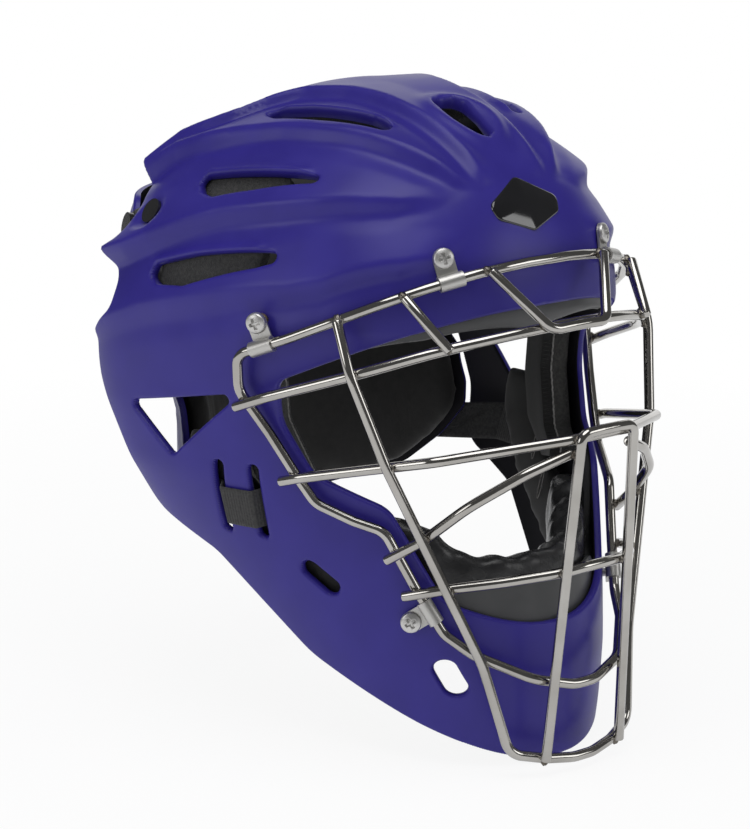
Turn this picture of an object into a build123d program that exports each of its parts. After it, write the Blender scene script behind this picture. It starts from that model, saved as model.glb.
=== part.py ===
from build123d import *
import math
import os
from functools import cache

# Hockey style catcher helmet: one-piece shell, welded wire face cage, foam and leather
# padding, and a rear plate that slides back on elastic straps.
# Millimetres, +Z up, face towards -Y, the wearer's right side at -X.
# The origin is the midpoint between the wearer's ears, where the head sits.

os.makedirs("parts", exist_ok=True)

# Shell: half width at the ears, chin and back reach, crown and chin height, wall
shell_half_width = 115.0
shell_reach = 142.0
shell_back = 114.0
crown_height = 151.0
chin_drop = 152.0
widest_height = 20.0
crown_drift, drift_power = 40.0, 1.5
shell_wall = 4.0
overrun, search_reach, search_step, normal_step = 10.0, 30.0, 0.004, 0.01

# Rings of the shell below its widest level: height (of chin_drop), half width
# (of shell_half_width), front (of shell_reach), back and centre (of shell_back), fullness
ring_shares = [
    (-1.000, 0.470, 0.993, -0.088, -0.667, 2.05),
    (-0.855, 0.557, 1.000, 0.044, -0.544, 2.04),
    (-0.691, 0.652, 1.000, 0.219, -0.368, 2.03),
    (-0.526, 0.748, 0.979, 0.439, -0.158, 2.01),
    (-0.329, 0.861, 0.944, 0.702, 0.070, 1.97),
    (-0.132, 0.965, 0.908, 0.877, 0.211, 1.88),
    (0.033, 0.996, 0.891, 0.965, 0.281, 1.94),
    (0.132, 1.000, 0.880, 1.000, 0.298, 2.03),
]
# Levels of the dome between its widest level and the crown
dome_shares = [0.13, 0.30, 0.48, 0.64, 0.78, 0.89, 0.96, 0.997]
side_power, front_power, rear_power = 2.5, 2.38, 2.6
dome_fullness, back_fullness, fullness_rate = 2.30, 2.30, 4.0
ring_steps = 18

# Side outline of the shell, as shares of shell_reach along Y and of chin_drop along Z,
# each with the share of corner_radius that rounds it
corner_radius = 20.0
outline_shares = [
    (0.22, 1.15, 0.0), (0.21, 0.84, 0.10), (0.375, 0.700, 0.05), (0.33, 0.630, 0.20),
    (0.27, 0.540, 0.50), (0.365, 0.480, 0.05), (0.300, 0.400, 0.40), (0.305, 0.320, 0.40),
    (0.425, 0.225, 0.40), (0.395, 0.090, 1.00), (0.275, -0.120, 1.00), (0.205, -0.300, 1.00),
    (-0.056, -0.400, 1.00), (-0.370, -0.680, 2.00), (-0.740, -0.850, 2.00),
    (-1.000, -0.965, 0.50), (-1.160, -0.990, 0.0), (-1.160, -0.560, 0.0),
    (-0.985, -0.545, 0.60), (-0.820, -0.460, 0.60), (-0.680, -0.185, 0.70),
    (-0.480, -0.095, 0.70), (-0.395, 0.060, 1.00), (-0.395, 0.180, 0.40),
    (-0.890, 0.400, 0.80), (-1.160, 0.430, 0.0), (-1.160, 1.15, 0.0),
]

# Fins: crest stations as (Y share of shell_reach, degrees from upright, share of fin_height)
fin_height = 10.0
fin_root = 1.2
fin_upper_angle, fin_lower_angle = 11.0, 4.5
fin_shares = {
    "upper": [(0.40, 45.0, 1.00), (0.25, 36.0, 0.70), (0.13, 31.0, 0.45),
              (-0.10, 26.5, 0.30), (-0.35, 21.5, 0.25), (-0.58, 18.5, 0.10)],
    "middle": [(0.375, 64.0, 1.00), (0.22, 57.0, 0.70), (0.08, 51.5, 0.45),
               (-0.13, 47.0, 0.30), (-0.36, 41.5, 0.25), (-0.60, 31.5, 0.10)],
    "lower": [(0.40, 83.0, 0.35), (0.14, 69.0, 0.35), (-0.16, 61.0, 0.30),
              (-0.38, 57.0, 0.25), (-0.62, 48.5, 0.10)],
}

# Vents on each side: Y and Z shares of the two ends, and the share of vent_width
vent_length_trim, vent_width = 6.0, 15.0
side_vent_shares = {
    "upper": ((-0.03, 0.900), (-0.46, 0.893), 0.5),
    "middle": ((0.05, 0.715), (-0.41, 0.780), 1.0),
    "lower": ((0.10, 0.435), (-0.37, 0.545), 1.0),
}
top_vent_y, top_vent_length, top_vent_width = -67.0, 34.0, 20.0

# Ear holes and strap slots, as side outlines in the same shares
ear_hole_shares = [(0.214, 0.048), (-0.268, 0.133), (0.028, -0.099)]
ear_hole_radius = 2.6
slot_width, jaw_slot_width, chin_slot_width = 4.5, 8.0, 8.5
strap_slot_shares = [((-0.165, -0.085), (-0.150, -0.315)), ((-0.290, -0.085), (-0.295, -0.315))]
jaw_slot_shares = ((-0.425, -0.378), (-0.530, -0.455))
chin_slot_shares = ((-0.815, -0.640), (-0.860, -0.745))

# Brow badge: plain domed shield in a shallow recess
badge_width, badge_height, badge_thickness = 38.0, 25.0, 3.2
badge_level, badge_tilt = 105.5, 32.0
badge_shares = [(0.0, 1.0), (-0.95, 0.10), (-0.85, -0.45), (0.0, -1.0), (0.85, -0.45),
                (0.95, 0.10)]
badge_corner, badge_edge, badge_gap = 4.0, 1.4, 0.2
recess_margin, recess_depth = 4.5, 2.2

# Cage wire and its clips
wire_diameter = 4.8
clip_length, clip_sheet, clip_width, clip_reach = 11.5, 1.0, 9.6, 10.5
clip_gap = 0.15
screw_head_diameter, screw_head_height, screw_diameter = 9.6, 2.6, 4.0
screw_recess_width, screw_recess_depth = 1.2, 1.2
nut_diameter, nut_gap = 6.4, 0.1

# Perimeter wire: ring angle in degrees from the front, height (of chin_drop),
# stand-off from the shell (of chin_stand_off) and bend radius (of corner_radius)
chin_stand_off = 14.5
perimeter_shares = [
    (0.0, 0.539, 0.33, 0.0), (4.5, 0.539, 0.33, 1.5), (10.0, 0.533, 0.33, 1.5),
    (17.0, 0.521, 0.33, 1.5), (28.0, 0.486, 0.33, 1.5), (37.0, 0.444, 0.33, 1.5),
    (46.5, 0.388, 0.35, 1.5), (55.0, 0.330, 0.40, 1.5), (63.8, 0.268, 0.50, 0.4),
    (62.5, 0.158, 0.42, 0.6), (57.0, 0.030, 0.32, 1.5), (53.5, -0.092, 0.32, 0.8),
    (51.5, -0.171, 0.34, 0.6), (45.5, -0.217, 0.34, 1.0), (40.2, -0.243, 0.36, 0.5),
    (38.2, -0.414, 0.34, 0.6), (35.8, -0.546, 0.38, 0.6), (30.0, -0.602, 0.59, 0.7),
    (16.0, -0.674, 0.97, 1.0), (4.0, -0.707, 1.00, 1.0), (0.0, -0.707, 1.00, 0.0),
]
# Run of that wire that carries each clip
clip_runs = {"brow": 3, "temple": 7, "jaw": 15}

# Other wires: X (of shell_half_width), Y (of shell_reach), Z (of chin_drop) of the points
# of the right half, and each bend's radius (of corner_radius)
upper_bar_shares = [
    (-0.9645, -0.311, 0.108, 0.0), (-0.929, -0.423, 0.151, 2.0), (-0.775, -0.697, 0.242, 3.0),
    (-0.539, -0.887, 0.318, 3.0), (-0.261, -0.996, 0.357, 3.0), (-0.060, -1.026, 0.368, 2.0),
    (0.0, -1.026, 0.368, 0.0),
]
lower_bar_shares = [
    (-0.857, -0.428, -0.110, 0.0), (-0.834, -0.497, -0.089, 1.0), (-0.604, -0.922, 0.005, 0.75),
    (-0.150, -1.153, 0.057, 0.6), (-0.060, -1.158, 0.060, 0.5), (0.0, -1.158, 0.060, 0.0),
]
diagonal_shares = [
    (-0.627, -0.722, -0.325, 0.0), (-0.565, -0.840, -0.250, 2.0), (-0.491, -0.982, -0.132, 1.5),
    (-0.313, -1.094, -0.033, 1.5), (-0.152, -1.152, 0.018, 0.0),
]
mouth_bar_shares = [
    (-0.590, -0.766, -0.430, 0.0), (-0.499, -0.880, -0.399, 2.5), (-0.348, -1.012, -0.372, 2.5),
    (-0.157, -1.121, -0.347, 2.0), (-0.050, -1.140, -0.338, 1.0), (0.0, -1.140, -0.338, 0.0),
]
outer_guard_shares = [
    (-0.790, -0.643, 0.398, 0.0), (-0.800, -0.716, 0.247, 1.5), (-0.710, -0.803, -0.022, 2.5),
    (-0.398, -0.972, -0.625, 2.0), (-0.322, -1.033, -0.897, 0.5), (-0.174, -1.078, -0.924, 1.0),
    (-0.050, -1.098, -0.936, 1.0), (0.0, -1.098, -0.936, 0.0),
]
nose_guard_shares = [
    (-0.200, -1.096, -0.925, 0.0), (-0.139, -1.186, 0.077, 0.25), (-0.040, -1.191, 0.081, 0.4),
    (0.0, -1.191, 0.081, 0.0),
]
brow_bracket_shares = [
    (-0.300, -0.908, 0.533, 0.0), (-0.143, -1.054, 0.365, 0.35), (-0.040, -1.057, 0.368, 0.4),
    (0.0, -1.057, 0.368, 0.0),
]
brow_strut_shares = [(-0.606, -0.787, 0.467), (-0.524, -0.926, 0.322)]

# Pads between the shell and the head
pad_gap = 0.4
crown_pad_thickness, brow_pad_thickness = 12.0, 15.0
crown_pad_half_width, crown_pad_front, crown_pad_back, crown_pad_floor = 34.0, 46.0, 22.0, 104.0
brow_pad_half_width, brow_pad_rear, brow_pad_floor, brow_pad_top = 74.0, 62.0, 49.0, 92.0
temple_pad_thickness, temple_pad_inner, temple_pad_front, temple_pad_back = 10.0, 50.0, 44.0, 18.0
temple_pad_floor, temple_pad_top = 54.0, 122.0
cheek_pad_thickness, jaw_pad_thickness, pad_corner = 14.0, 9.0, 4.0
cheek_pad_shares = [
    (-0.375, 0.180), (-0.375, 0.040), (-0.455, -0.130), (-0.610, -0.193), (-0.440, -0.240),
    (-0.270, -0.150), (-0.215, 0.000), (-0.215, 0.190),
]
jaw_pad_shares = [
    (-0.198, -0.020), (-0.250, -0.165), (-0.420, -0.295), (-0.560, -0.450), (-0.560, -0.560),
    (-0.400, -0.520), (-0.150, -0.350), (0.000, -0.190), (0.020, -0.100), (0.010, -0.020),
]

# Chin cup: leather cup with a smooth front panel, above the chin of the shell
chin_cup_thickness, chin_panel_thickness, chin_panel_gap = 20.0, 2.6, 0.3
chin_cup_shares = [
    (-1.160, -0.660), (-1.160, -0.345), (-0.880, -0.340), (-0.780, -0.265), (-0.700, -0.225),
    (-0.592, -0.225), (-0.592, -0.660),
]
chin_panel_shares = [
    (-1.160, -0.630), (-1.160, -0.415), (-0.850, -0.420), (-0.800, -0.460), (-0.800, -0.630),
]
chin_corner = 6.0

# Rear plate: height (of chin_drop), half width, half depth and centre (of shell_back) of
# its rings, and its side outline
plate_half_width, plate_half_depth = 98.0, 95.0
plate_ring_shares = [
    (-0.513, 0.888, 0.968, -0.053), (-0.263, 0.969, 0.989, -0.096), (0.000, 1.000, 1.000, -0.132),
    (0.197, 0.980, 0.979, 0.123), (0.395, 0.929, 0.947, 0.316), (0.645, 0.847, 0.926, 0.298),
]
plate_wall, rear_pad_thickness, rear_pad_gap, rear_pad_margin = 3.0, 14.0, 0.3, 4.0
plate_outline_shares = [
    (0.155, -0.080), (0.190, 0.030), (0.420, 0.240), (0.590, 0.600), (1.000, 0.600),
    (1.000, -0.460), (0.530, -0.440), (0.340, -0.365), (0.240, -0.270), (0.155, -0.160),
]
plate_corner = 9.0

# Elastic straps that hold the rear plate, their rivets and anchor discs. The seats of an
# upper strap are (degrees round the plate from the front, height of chin_drop)
strap_thickness, strap_gap, strap_pad_gap = 1.6, 0.3, 0.6
lower_strap_width, lower_strap_top, lower_strap_tail = 18.0, -25.0, 9.0
lower_strap_rear_shares = [-0.050, 0.056]
lower_strap_seat_shares = [0.245, 0.290, 0.335]
upper_strap_width, upper_strap_tail, upper_strap_lap, upper_strap_room = 16.0, 7.5, 5.0, 0.9
rivet_angle, rivet_level = 97.6, 93.8
upper_strap_seat_shares = [(104.0, 0.553), (113.0, 0.523), (122.0, 0.493)]
rivet_head_diameter, rivet_head_height, rivet_diameter, rivet_gap = 12.0, 1.8, 4.4, 0.2
anchor_diameter, anchor_thickness, anchor_gap = 13.0, 2.4, 0.2


def signed_power(value, power):
    return math.copysign(abs(value) ** power, value)


def between(low, high, share):
    return low + (high - low) * share


def ring_sizes(height, inset=0.0):
    """Half width, front reach, back reach, centre and fullness of the shell at a height."""
    rows = [(z * chin_drop, w * shell_half_width, f * shell_reach, b * shell_back,
             c * shell_back, n) for z, w, f, b, c, n in ring_shares]
    if height >= widest_height:
        _, width, front, back, centre, fullness = rows[-1]
        rise = min(1.0, (height - widest_height) / (crown_height - inset - widest_height))
        blend = min(1.0, fullness_rate * rise)
        fullness = between(fullness, dome_fullness, blend)
        middle = centre - crown_drift * rise ** drift_power
        side = (width - inset) * math.sqrt(1.0 - rise ** side_power)
        ahead = (front + centre - inset) * math.sqrt(1.0 - rise ** front_power)
        behind = (back - centre - inset) * math.sqrt(1.0 - rise ** rear_power)
        return side, ahead, behind, middle, fullness
    low = max(i for i, row in enumerate(rows[:-1]) if i == 0 or row[0] <= height)
    share = (height - rows[low][0]) / (rows[low + 1][0] - rows[low][0])
    _, width, front, back, centre, fullness = [
        between(a, b, share) for a, b in zip(rows[low], rows[low + 1])
    ]
    return width - inset, front + centre - inset, back - centre - inset, centre, fullness


def ring_point(angle, height, inset=0.0):
    """Point of the shell's surface at an angle in degrees from the front, towards -X."""
    side, ahead, behind, middle, fullness = ring_sizes(height, inset)
    across, along = math.sin(math.radians(angle)), math.cos(math.radians(angle))
    power = 2.0 / (fullness if along > 0.0 else back_fullness)
    reach = ahead if along > 0.0 else behind
    return Vector(-side * signed_power(across, power),
                  middle - reach * signed_power(along, power), height)


def shell_normal(angle, height):
    """Outward normal of the shell's surface."""
    along = ring_point(angle + normal_step, height) - ring_point(angle - normal_step, height)
    up = ring_point(angle, height + normal_step) - ring_point(angle, height - normal_step)
    return up.cross(along).normalized()


def shell_side(y, height, inset=0.0):
    """Half width of the shell's surface at a place in its side view."""
    side, ahead, behind, middle, fullness = ring_sizes(height, inset)
    power = fullness if y < middle else back_fullness
    share = abs(y - middle) / (ahead if y < middle else behind)
    return side * max(0.0, 1.0 - share ** power) ** (1.0 / power)


def is_inside(x, y, z):
    return z < crown_height and abs(x) < shell_side(y, z)


def height_over_shell(point, outward):
    """Distance from a point in to the shell's surface, against its outward direction."""
    near, far = 0.0, search_reach
    while far - near > search_step:
        middle = (near + far) / 2.0
        if is_inside(*(point - outward * middle)):
            far = middle
        else:
            near = middle
    return near


def spoke_point(y, angle, height):
    """Point at a height over the shell, on a spoke that leaves the dome's axis at an angle."""
    across, up = math.sin(math.radians(angle)), math.cos(math.radians(angle))
    near, far = 0.0, shell_half_width + crown_height
    while far - near > search_step:
        middle = (near + far) / 2.0
        if is_inside(across * middle, y, widest_height + up * middle):
            near = middle
        else:
            far = middle
    return across * (near + height), widest_height + up * (near + height)


def place(x, y, z):
    """A point from its shares of the shell's half width, reach and drop."""
    return Vector(x * shell_half_width, y * shell_reach, z * chin_drop)


def side_place(shares):
    return shares[0] * shell_reach, shares[1] * chin_drop


@cache
def skin(inset):
    """Solid bounded by the shell's surface moved inwards."""
    levels = [row[0] * chin_drop for row in ring_shares]
    dome = crown_height - inset - widest_height
    levels += [widest_height + share * dome for share in dome_shares]
    with BuildPart(mode=Mode.PRIVATE) as solid:
        for level in levels:
            with BuildSketch(Plane.XY.offset(level)):
                with BuildLine():
                    turns = [360.0 * i / ring_steps for i in range(ring_steps)]
                    Spline([tuple(ring_point(a, level, inset))[:2] for a in turns], periodic=True)
                make_face()
        loft()
    return solid.part


def side_prism(outline, corner, right_half=False, shrink=0.0):
    """Block across the helmet, or over its right half, with an outline in its side view."""
    with BuildPart(mode=Mode.PRIVATE) as solid:
        with BuildSketch(Plane.YZ.offset(-full_width)):
            with BuildLine():
                FilletPolyline(*outline, radius=corner, close=True)
            make_face()
            if shrink:
                offset(amount=-shrink)
        extrude(amount=full_width if right_half else 2.0 * full_width)
    return solid.part


def box_between(low, high):
    with BuildPart(mode=Mode.PRIVATE) as solid:
        with Locations([tuple((a + b) / 2.0 for a, b in zip(low, high))]):
            Box(*[b - a for a, b in zip(low, high)])
    return solid.part


def layer(inset, thickness, region):
    """Pad that follows the inside of the shell within a region."""
    with BuildPart(mode=Mode.PRIVATE) as solid:
        add(skin(inset))
        add(region, mode=Mode.INTERSECT)
        add(skin(inset + thickness), mode=Mode.SUBTRACT)
    return solid.part


@cache
def plate_skin(inset):
    """Solid bounded by the rear plate's surface moved inwards."""
    with BuildPart(mode=Mode.PRIVATE) as solid:
        for level, side, reach, centre in plate_ring_shares:
            with BuildSketch(Plane.XY.offset(level * chin_drop)):
                with Locations((0.0, centre * shell_back)):
                    Ellipse(side * plate_half_width - inset, reach * plate_half_depth - inset)
        loft()
    return solid.part


def last_hit(surface, origin, direction):
    """Point where a line leaves a solid, and the outward normal there."""
    point, outward = surface.find_intersection_points(Axis(origin, direction))[-1]
    return point, outward.normalized()


def wire(points, radii):
    """Round wire along straight runs and bends."""
    with BuildPart(mode=Mode.PRIVATE) as solid:
        with BuildLine() as path:
            if radii:
                FilletPolyline(*points, radius=radii)
            else:
                Line(*points)
        with BuildSketch(Plane(path.line @ 0, z_dir=path.line % 0)):
            Circle(wire_diameter / 2.0)
        sweep(path=path.line)
    return solid.part


def wire_from_shares(rows):
    points = [place(*row[:3]) for row in rows]
    return wire(points, [row[3] * corner_radius for row in rows[1:-1]])


def perimeter_point(angle, height_share, off_share):
    height = height_share * chin_drop
    outward = shell_normal(angle, height)
    level_outward = Vector(outward.X, outward.Y, 0.0).normalized()
    return ring_point(angle, height) + level_outward * (off_share * chin_stand_off)


def clip_plane(run):
    """Plane on the perimeter wire: Z out of the shell, Y from the wire to the screw."""
    first, second = perimeter_shares[run], perimeter_shares[run + 1]
    start, end = perimeter_point(*first[:3]), perimeter_point(*second[:3])
    along = (end - start).normalized()
    angle, height = (first[0] + second[0]) / 2.0, (first[1] + second[1]) / 2.0 * chin_drop
    outward = shell_normal(angle, height)
    outward = (outward - along * outward.dot(along)).normalized()
    return Plane((start + end) * 0.5, x_dir=along * -1.0, z_dir=outward)


def screw_seat(plane):
    """Plane on the shell's surface under a clip's screw, and its depth under the wire."""
    over = plane.origin + plane.y_dir * clip_reach
    depth = height_over_shell(over, plane.z_dir)
    return Plane(over - plane.z_dir * depth, x_dir=plane.x_dir, z_dir=plane.z_dir), depth


def save(piece, label):
    piece.label = label
    export_step(piece, "parts/" + label + ".step")


full_width = shell_half_width + overrun
clip_planes = {name: clip_plane(run) for name, run in clip_runs.items()}
badge_plane = Plane(
    ring_point(0.0, badge_level), x_dir=(1.0, 0.0, 0.0),
    z_dir=(0.0, -math.cos(math.radians(badge_tilt)), math.sin(math.radians(badge_tilt))),
)
badge_outline = [(x * badge_width / 2.0, y * badge_height / 2.0) for x, y in badge_shares]
rivet_plane = Plane(
    ring_point(rivet_angle, rivet_level),
    z_dir=shell_normal(rivet_angle, rivet_level),
)

# Shell: the skin's wall inside the side outline, with fins, vents, holes and slots
with BuildPart() as helmet_shell:
    add(skin(0.0))
    add(skin(shell_wall), mode=Mode.SUBTRACT)
    corners = [(y * shell_reach, z * chin_drop) for y, z, _ in outline_shares]
    rounding = [share * corner_radius for _, _, share in outline_shares]
    add(side_prism(corners, rounding), mode=Mode.INTERSECT)
    for stations in fin_shares.values():
        with BuildPart(mode=Mode.PRIVATE) as fin:
            for y_share, angle, share in stations:
                y = y_share * shell_reach
                upper = spoke_point(y, angle - fin_upper_angle, -fin_root)
                crest = spoke_point(y, angle, share * fin_height)
                lower = spoke_point(y, angle + fin_lower_angle, -fin_root)
                with BuildSketch(Plane.XZ.offset(-y)):
                    with BuildLine():
                        Polyline(upper, crest, lower, close=True)
                    make_face()
            loft(ruled=True)
        add(fin.part)
        add(mirror(fin.part, about=Plane.YZ))
    with BuildPart(mode=Mode.PRIVATE) as cuts:
        for start, end, width_share in side_vent_shares.values():
            (y0, z0), (y1, z1) = side_place(start), side_place(end)
            front = Vector(-shell_side(y1, z1), y1, z1)
            rear = Vector(-shell_side(y0, z0), y0, z0)
            centre = (front + rear) * 0.5
            outward = Vector(centre.X, 0.0, centre.Z - widest_height)
            with BuildSketch(Plane(centre, x_dir=front - rear, z_dir=outward)):
                SlotOverall((front - rear).length - vent_length_trim, width_share * vent_width)
            extrude(amount=search_reach, both=True)
        for plane in clip_planes.values():
            seat, _ = screw_seat(plane)
            with BuildSketch(seat):
                Circle(nut_diameter / 2.0 + nut_gap)
            extrude(amount=overrun, both=True)
        with BuildSketch(rivet_plane):
            Circle(rivet_diameter / 2.0 + rivet_gap)
        extrude(amount=-overrun)
        with BuildSketch(rivet_plane):
            Circle(rivet_head_diameter / 2.0 + rivet_gap)
        extrude(amount=2.0 * overrun)
    for cut in cuts.part.solids():
        add([cut, mirror(cut, about=Plane.YZ)], mode=Mode.SUBTRACT)
    with BuildSketch(Plane.XY.offset(widest_height)):
        with Locations((0.0, top_vent_y)):
            SlotOverall(top_vent_length, top_vent_width, rotation=90.0)
    extrude(amount=crown_height, mode=Mode.SUBTRACT)
    ear_corners = [side_place(share) for share in ear_hole_shares]
    add(side_prism(ear_corners, ear_hole_radius), mode=Mode.SUBTRACT)
    long_slots = [(pair, slot_width) for pair in strap_slot_shares]
    long_slots += [(jaw_slot_shares, jaw_slot_width), (chin_slot_shares, chin_slot_width)]
    for (top, bottom), width in long_slots:
        (y0, z0), (y1, z1) = side_place(top), side_place(bottom)
        turn = math.degrees(math.atan2(z1 - z0, y1 - y0))
        with BuildSketch(Plane.YZ):
            with Locations(((y0 + y1) / 2.0, (z0 + z1) / 2.0)):
                SlotOverall(math.hypot(y1 - y0, z1 - z0), width, rotation=turn)
        extrude(amount=full_width, both=True, mode=Mode.SUBTRACT)
    with BuildSketch(badge_plane.offset(-recess_depth)):
        with BuildLine():
            FilletPolyline(*badge_outline, radius=badge_corner, close=True)
        make_face()
        offset(amount=recess_margin)
    extrude(amount=overrun, mode=Mode.SUBTRACT)
save(helmet_shell.part, "helmet_shell")

with BuildPart() as brow_badge:
    with BuildSketch(badge_plane.offset(badge_gap - recess_depth)):
        with BuildLine():
            FilletPolyline(*badge_outline, radius=badge_corner, close=True)
        make_face()
    extrude(amount=badge_thickness)
    top_edges = brow_badge.faces().sort_by(Axis(badge_plane.origin, badge_plane.z_dir))[-1].edges()
    chamfer(top_edges, badge_edge)
save(brow_badge.part, "brow_badge")

# Cage: a perimeter wire on clips, with the other wires welded outside it in two layers
with BuildPart() as cage_perimeter:
    perimeter_points = [perimeter_point(*row[:3]) for row in perimeter_shares]
    add(wire(perimeter_points, [row[3] * corner_radius for row in perimeter_shares[1:-1]]))
    mirror(about=Plane.YZ)
save(cage_perimeter.part, "cage_perimeter")

with BuildPart() as cage_upper_bar:
    add(wire_from_shares(upper_bar_shares))
    mirror(about=Plane.YZ)
save(cage_upper_bar.part, "cage_upper_bar")

with BuildPart() as cage_lower_bar:
    add(wire_from_shares(lower_bar_shares))
    mirror(about=Plane.YZ)
save(cage_lower_bar.part, "cage_lower_bar")

with BuildPart() as cage_mouth_bar:
    add(wire_from_shares(mouth_bar_shares))
    mirror(about=Plane.YZ)
save(cage_mouth_bar.part, "cage_mouth_bar")

with BuildPart() as cage_outer_guard:
    add(wire_from_shares(outer_guard_shares))
    mirror(about=Plane.YZ)
save(cage_outer_guard.part, "cage_outer_guard")

with BuildPart() as cage_nose_guard:
    add(wire_from_shares(nose_guard_shares))
    mirror(about=Plane.YZ)
save(cage_nose_guard.part, "cage_nose_guard")

with BuildPart() as cage_brow_bracket:
    add(wire_from_shares(brow_bracket_shares))
    mirror(about=Plane.YZ)
save(cage_brow_bracket.part, "cage_brow_bracket")

diagonal_bar = wire_from_shares(diagonal_shares)
brow_strut = wire([place(*row) for row in brow_strut_shares], None)

# Clips, screws and threaded inserts, made on the right side and mirrored
fasteners = {}
wrap_radius = wire_diameter / 2.0 + clip_gap + clip_sheet
for name, plane in clip_planes.items():
    with BuildPart() as clip:
        with BuildSketch(Plane(plane.origin, x_dir=plane.y_dir, z_dir=plane.x_dir)):
            Circle(wrap_radius)
        extrude(amount=clip_length / 2.0, both=True)
        with BuildSketch(plane.offset(-wrap_radius)):
            with Locations((0.0, clip_reach / 2.0)):
                Rectangle(clip_width, clip_reach)
            with Locations((0.0, clip_reach)):
                Circle(clip_width / 2.0)
        extrude(amount=clip_sheet)
        with BuildSketch(Plane(plane.origin, x_dir=plane.y_dir, z_dir=plane.x_dir)):
            Circle(wrap_radius - clip_sheet)
        extrude(amount=clip_length, both=True, mode=Mode.SUBTRACT)
        with BuildSketch(plane):
            with Locations((0.0, clip_reach)):
                Circle(screw_diameter / 2.0 + clip_gap)
        extrude(amount=overrun, both=True, mode=Mode.SUBTRACT)
    seat, depth = screw_seat(plane)
    head_base = depth - wrap_radius + clip_sheet + clip_gap
    with BuildPart() as screw:
        with BuildSketch(seat.offset(head_base)):
            Circle(screw_head_diameter / 2.0)
        extrude(amount=screw_head_height)
        rim = screw.faces().sort_by(Axis(seat.origin, seat.z_dir))[-1].edges()
        fillet(rim, screw_head_height / 2.0)
        with BuildSketch(seat.offset(head_base + screw_head_height - screw_recess_depth)):
            for turn in (45.0, 135.0):
                Rectangle(screw_head_diameter / 2.0, screw_recess_width, rotation=turn)
        extrude(amount=screw_recess_depth, mode=Mode.SUBTRACT)
        with BuildSketch(seat.offset(head_base)):
            Circle(screw_diameter / 2.0)
        extrude(amount=-(head_base + shell_wall - nut_gap))
    with BuildPart() as insert:
        with BuildSketch(seat.offset(-nut_gap)):
            Circle(nut_diameter / 2.0)
            Circle(screw_diameter / 2.0 + nut_gap, mode=Mode.SUBTRACT)
        extrude(amount=-(shell_wall - 2.0 * nut_gap))
    fasteners[name + "_clip"] = clip.part
    fasteners[name + "_screw"] = screw.part
    fasteners[name + "_insert"] = insert.part

# Pads that follow the inside of the shell
with BuildPart() as crown_pad:
    add(layer(shell_wall + pad_gap, crown_pad_thickness, box_between(
        (-crown_pad_half_width, -crown_pad_front, crown_pad_floor),
        (crown_pad_half_width, crown_pad_back, crown_height))))
save(crown_pad.part, "crown_pad")

with BuildPart() as brow_pad:
    add(layer(shell_wall + pad_gap, brow_pad_thickness, box_between(
        (-brow_pad_half_width, -shell_reach, brow_pad_floor),
        (brow_pad_half_width, -brow_pad_rear, brow_pad_top))))
save(brow_pad.part, "brow_pad")

temple_pad = layer(shell_wall + pad_gap, temple_pad_thickness, box_between(
    (-full_width, -temple_pad_front, temple_pad_floor),
    (-temple_pad_inner, temple_pad_back, temple_pad_top)))

strap_room = strap_gap + strap_thickness + strap_pad_gap
cheek_outline = [side_place(share) for share in cheek_pad_shares]
cheek_pad = layer(shell_wall + strap_room, cheek_pad_thickness,
                  side_prism(cheek_outline, pad_corner, right_half=True))
jaw_outline = [side_place(share) for share in jaw_pad_shares]
jaw_pad = layer(shell_wall + strap_room, jaw_pad_thickness,
                side_prism(jaw_outline, pad_corner, right_half=True))

with BuildPart() as chin_panel:
    panel_outline = [side_place(share) for share in chin_panel_shares]
    add(layer(shell_wall + pad_gap, chin_panel_thickness, side_prism(panel_outline, chin_corner)))
save(chin_panel.part, "chin_panel")

with BuildPart() as chin_cup:
    cup_outline = [side_place(share) for share in chin_cup_shares]
    cup_inset = shell_wall + pad_gap + chin_panel_thickness + chin_panel_gap
    add(layer(cup_inset, chin_cup_thickness, side_prism(cup_outline, chin_corner)))
save(chin_cup.part, "chin_cup")

# Rear plate and its pad
plate_outline = [side_place(share) for share in plate_outline_shares]
with BuildPart() as rear_plate:
    add(plate_skin(0.0))
    add(side_prism(plate_outline, plate_corner), mode=Mode.INTERSECT)
    add(plate_skin(plate_wall), mode=Mode.SUBTRACT)
save(rear_plate.part, "rear_plate")

with BuildPart() as rear_pad:
    pad_inset = plate_wall + rear_pad_gap
    add(plate_skin(pad_inset))
    add(side_prism(plate_outline, plate_corner, shrink=rear_pad_margin), mode=Mode.INTERSECT)
    add(plate_skin(pad_inset + rear_pad_thickness), mode=Mode.SUBTRACT)
save(rear_pad.part, "rear_pad")


def strap_face(surface, y, level, lift):
    """Plan point of a strap's face, at a lift outwards from a surface."""
    point, outward = last_hit(surface, (0.0, y, level), (-1.0, 0.0, 0.0))
    lifted = point + Vector(outward.X, outward.Y, 0.0).normalized() * lift
    return lifted.X, lifted.Y


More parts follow.
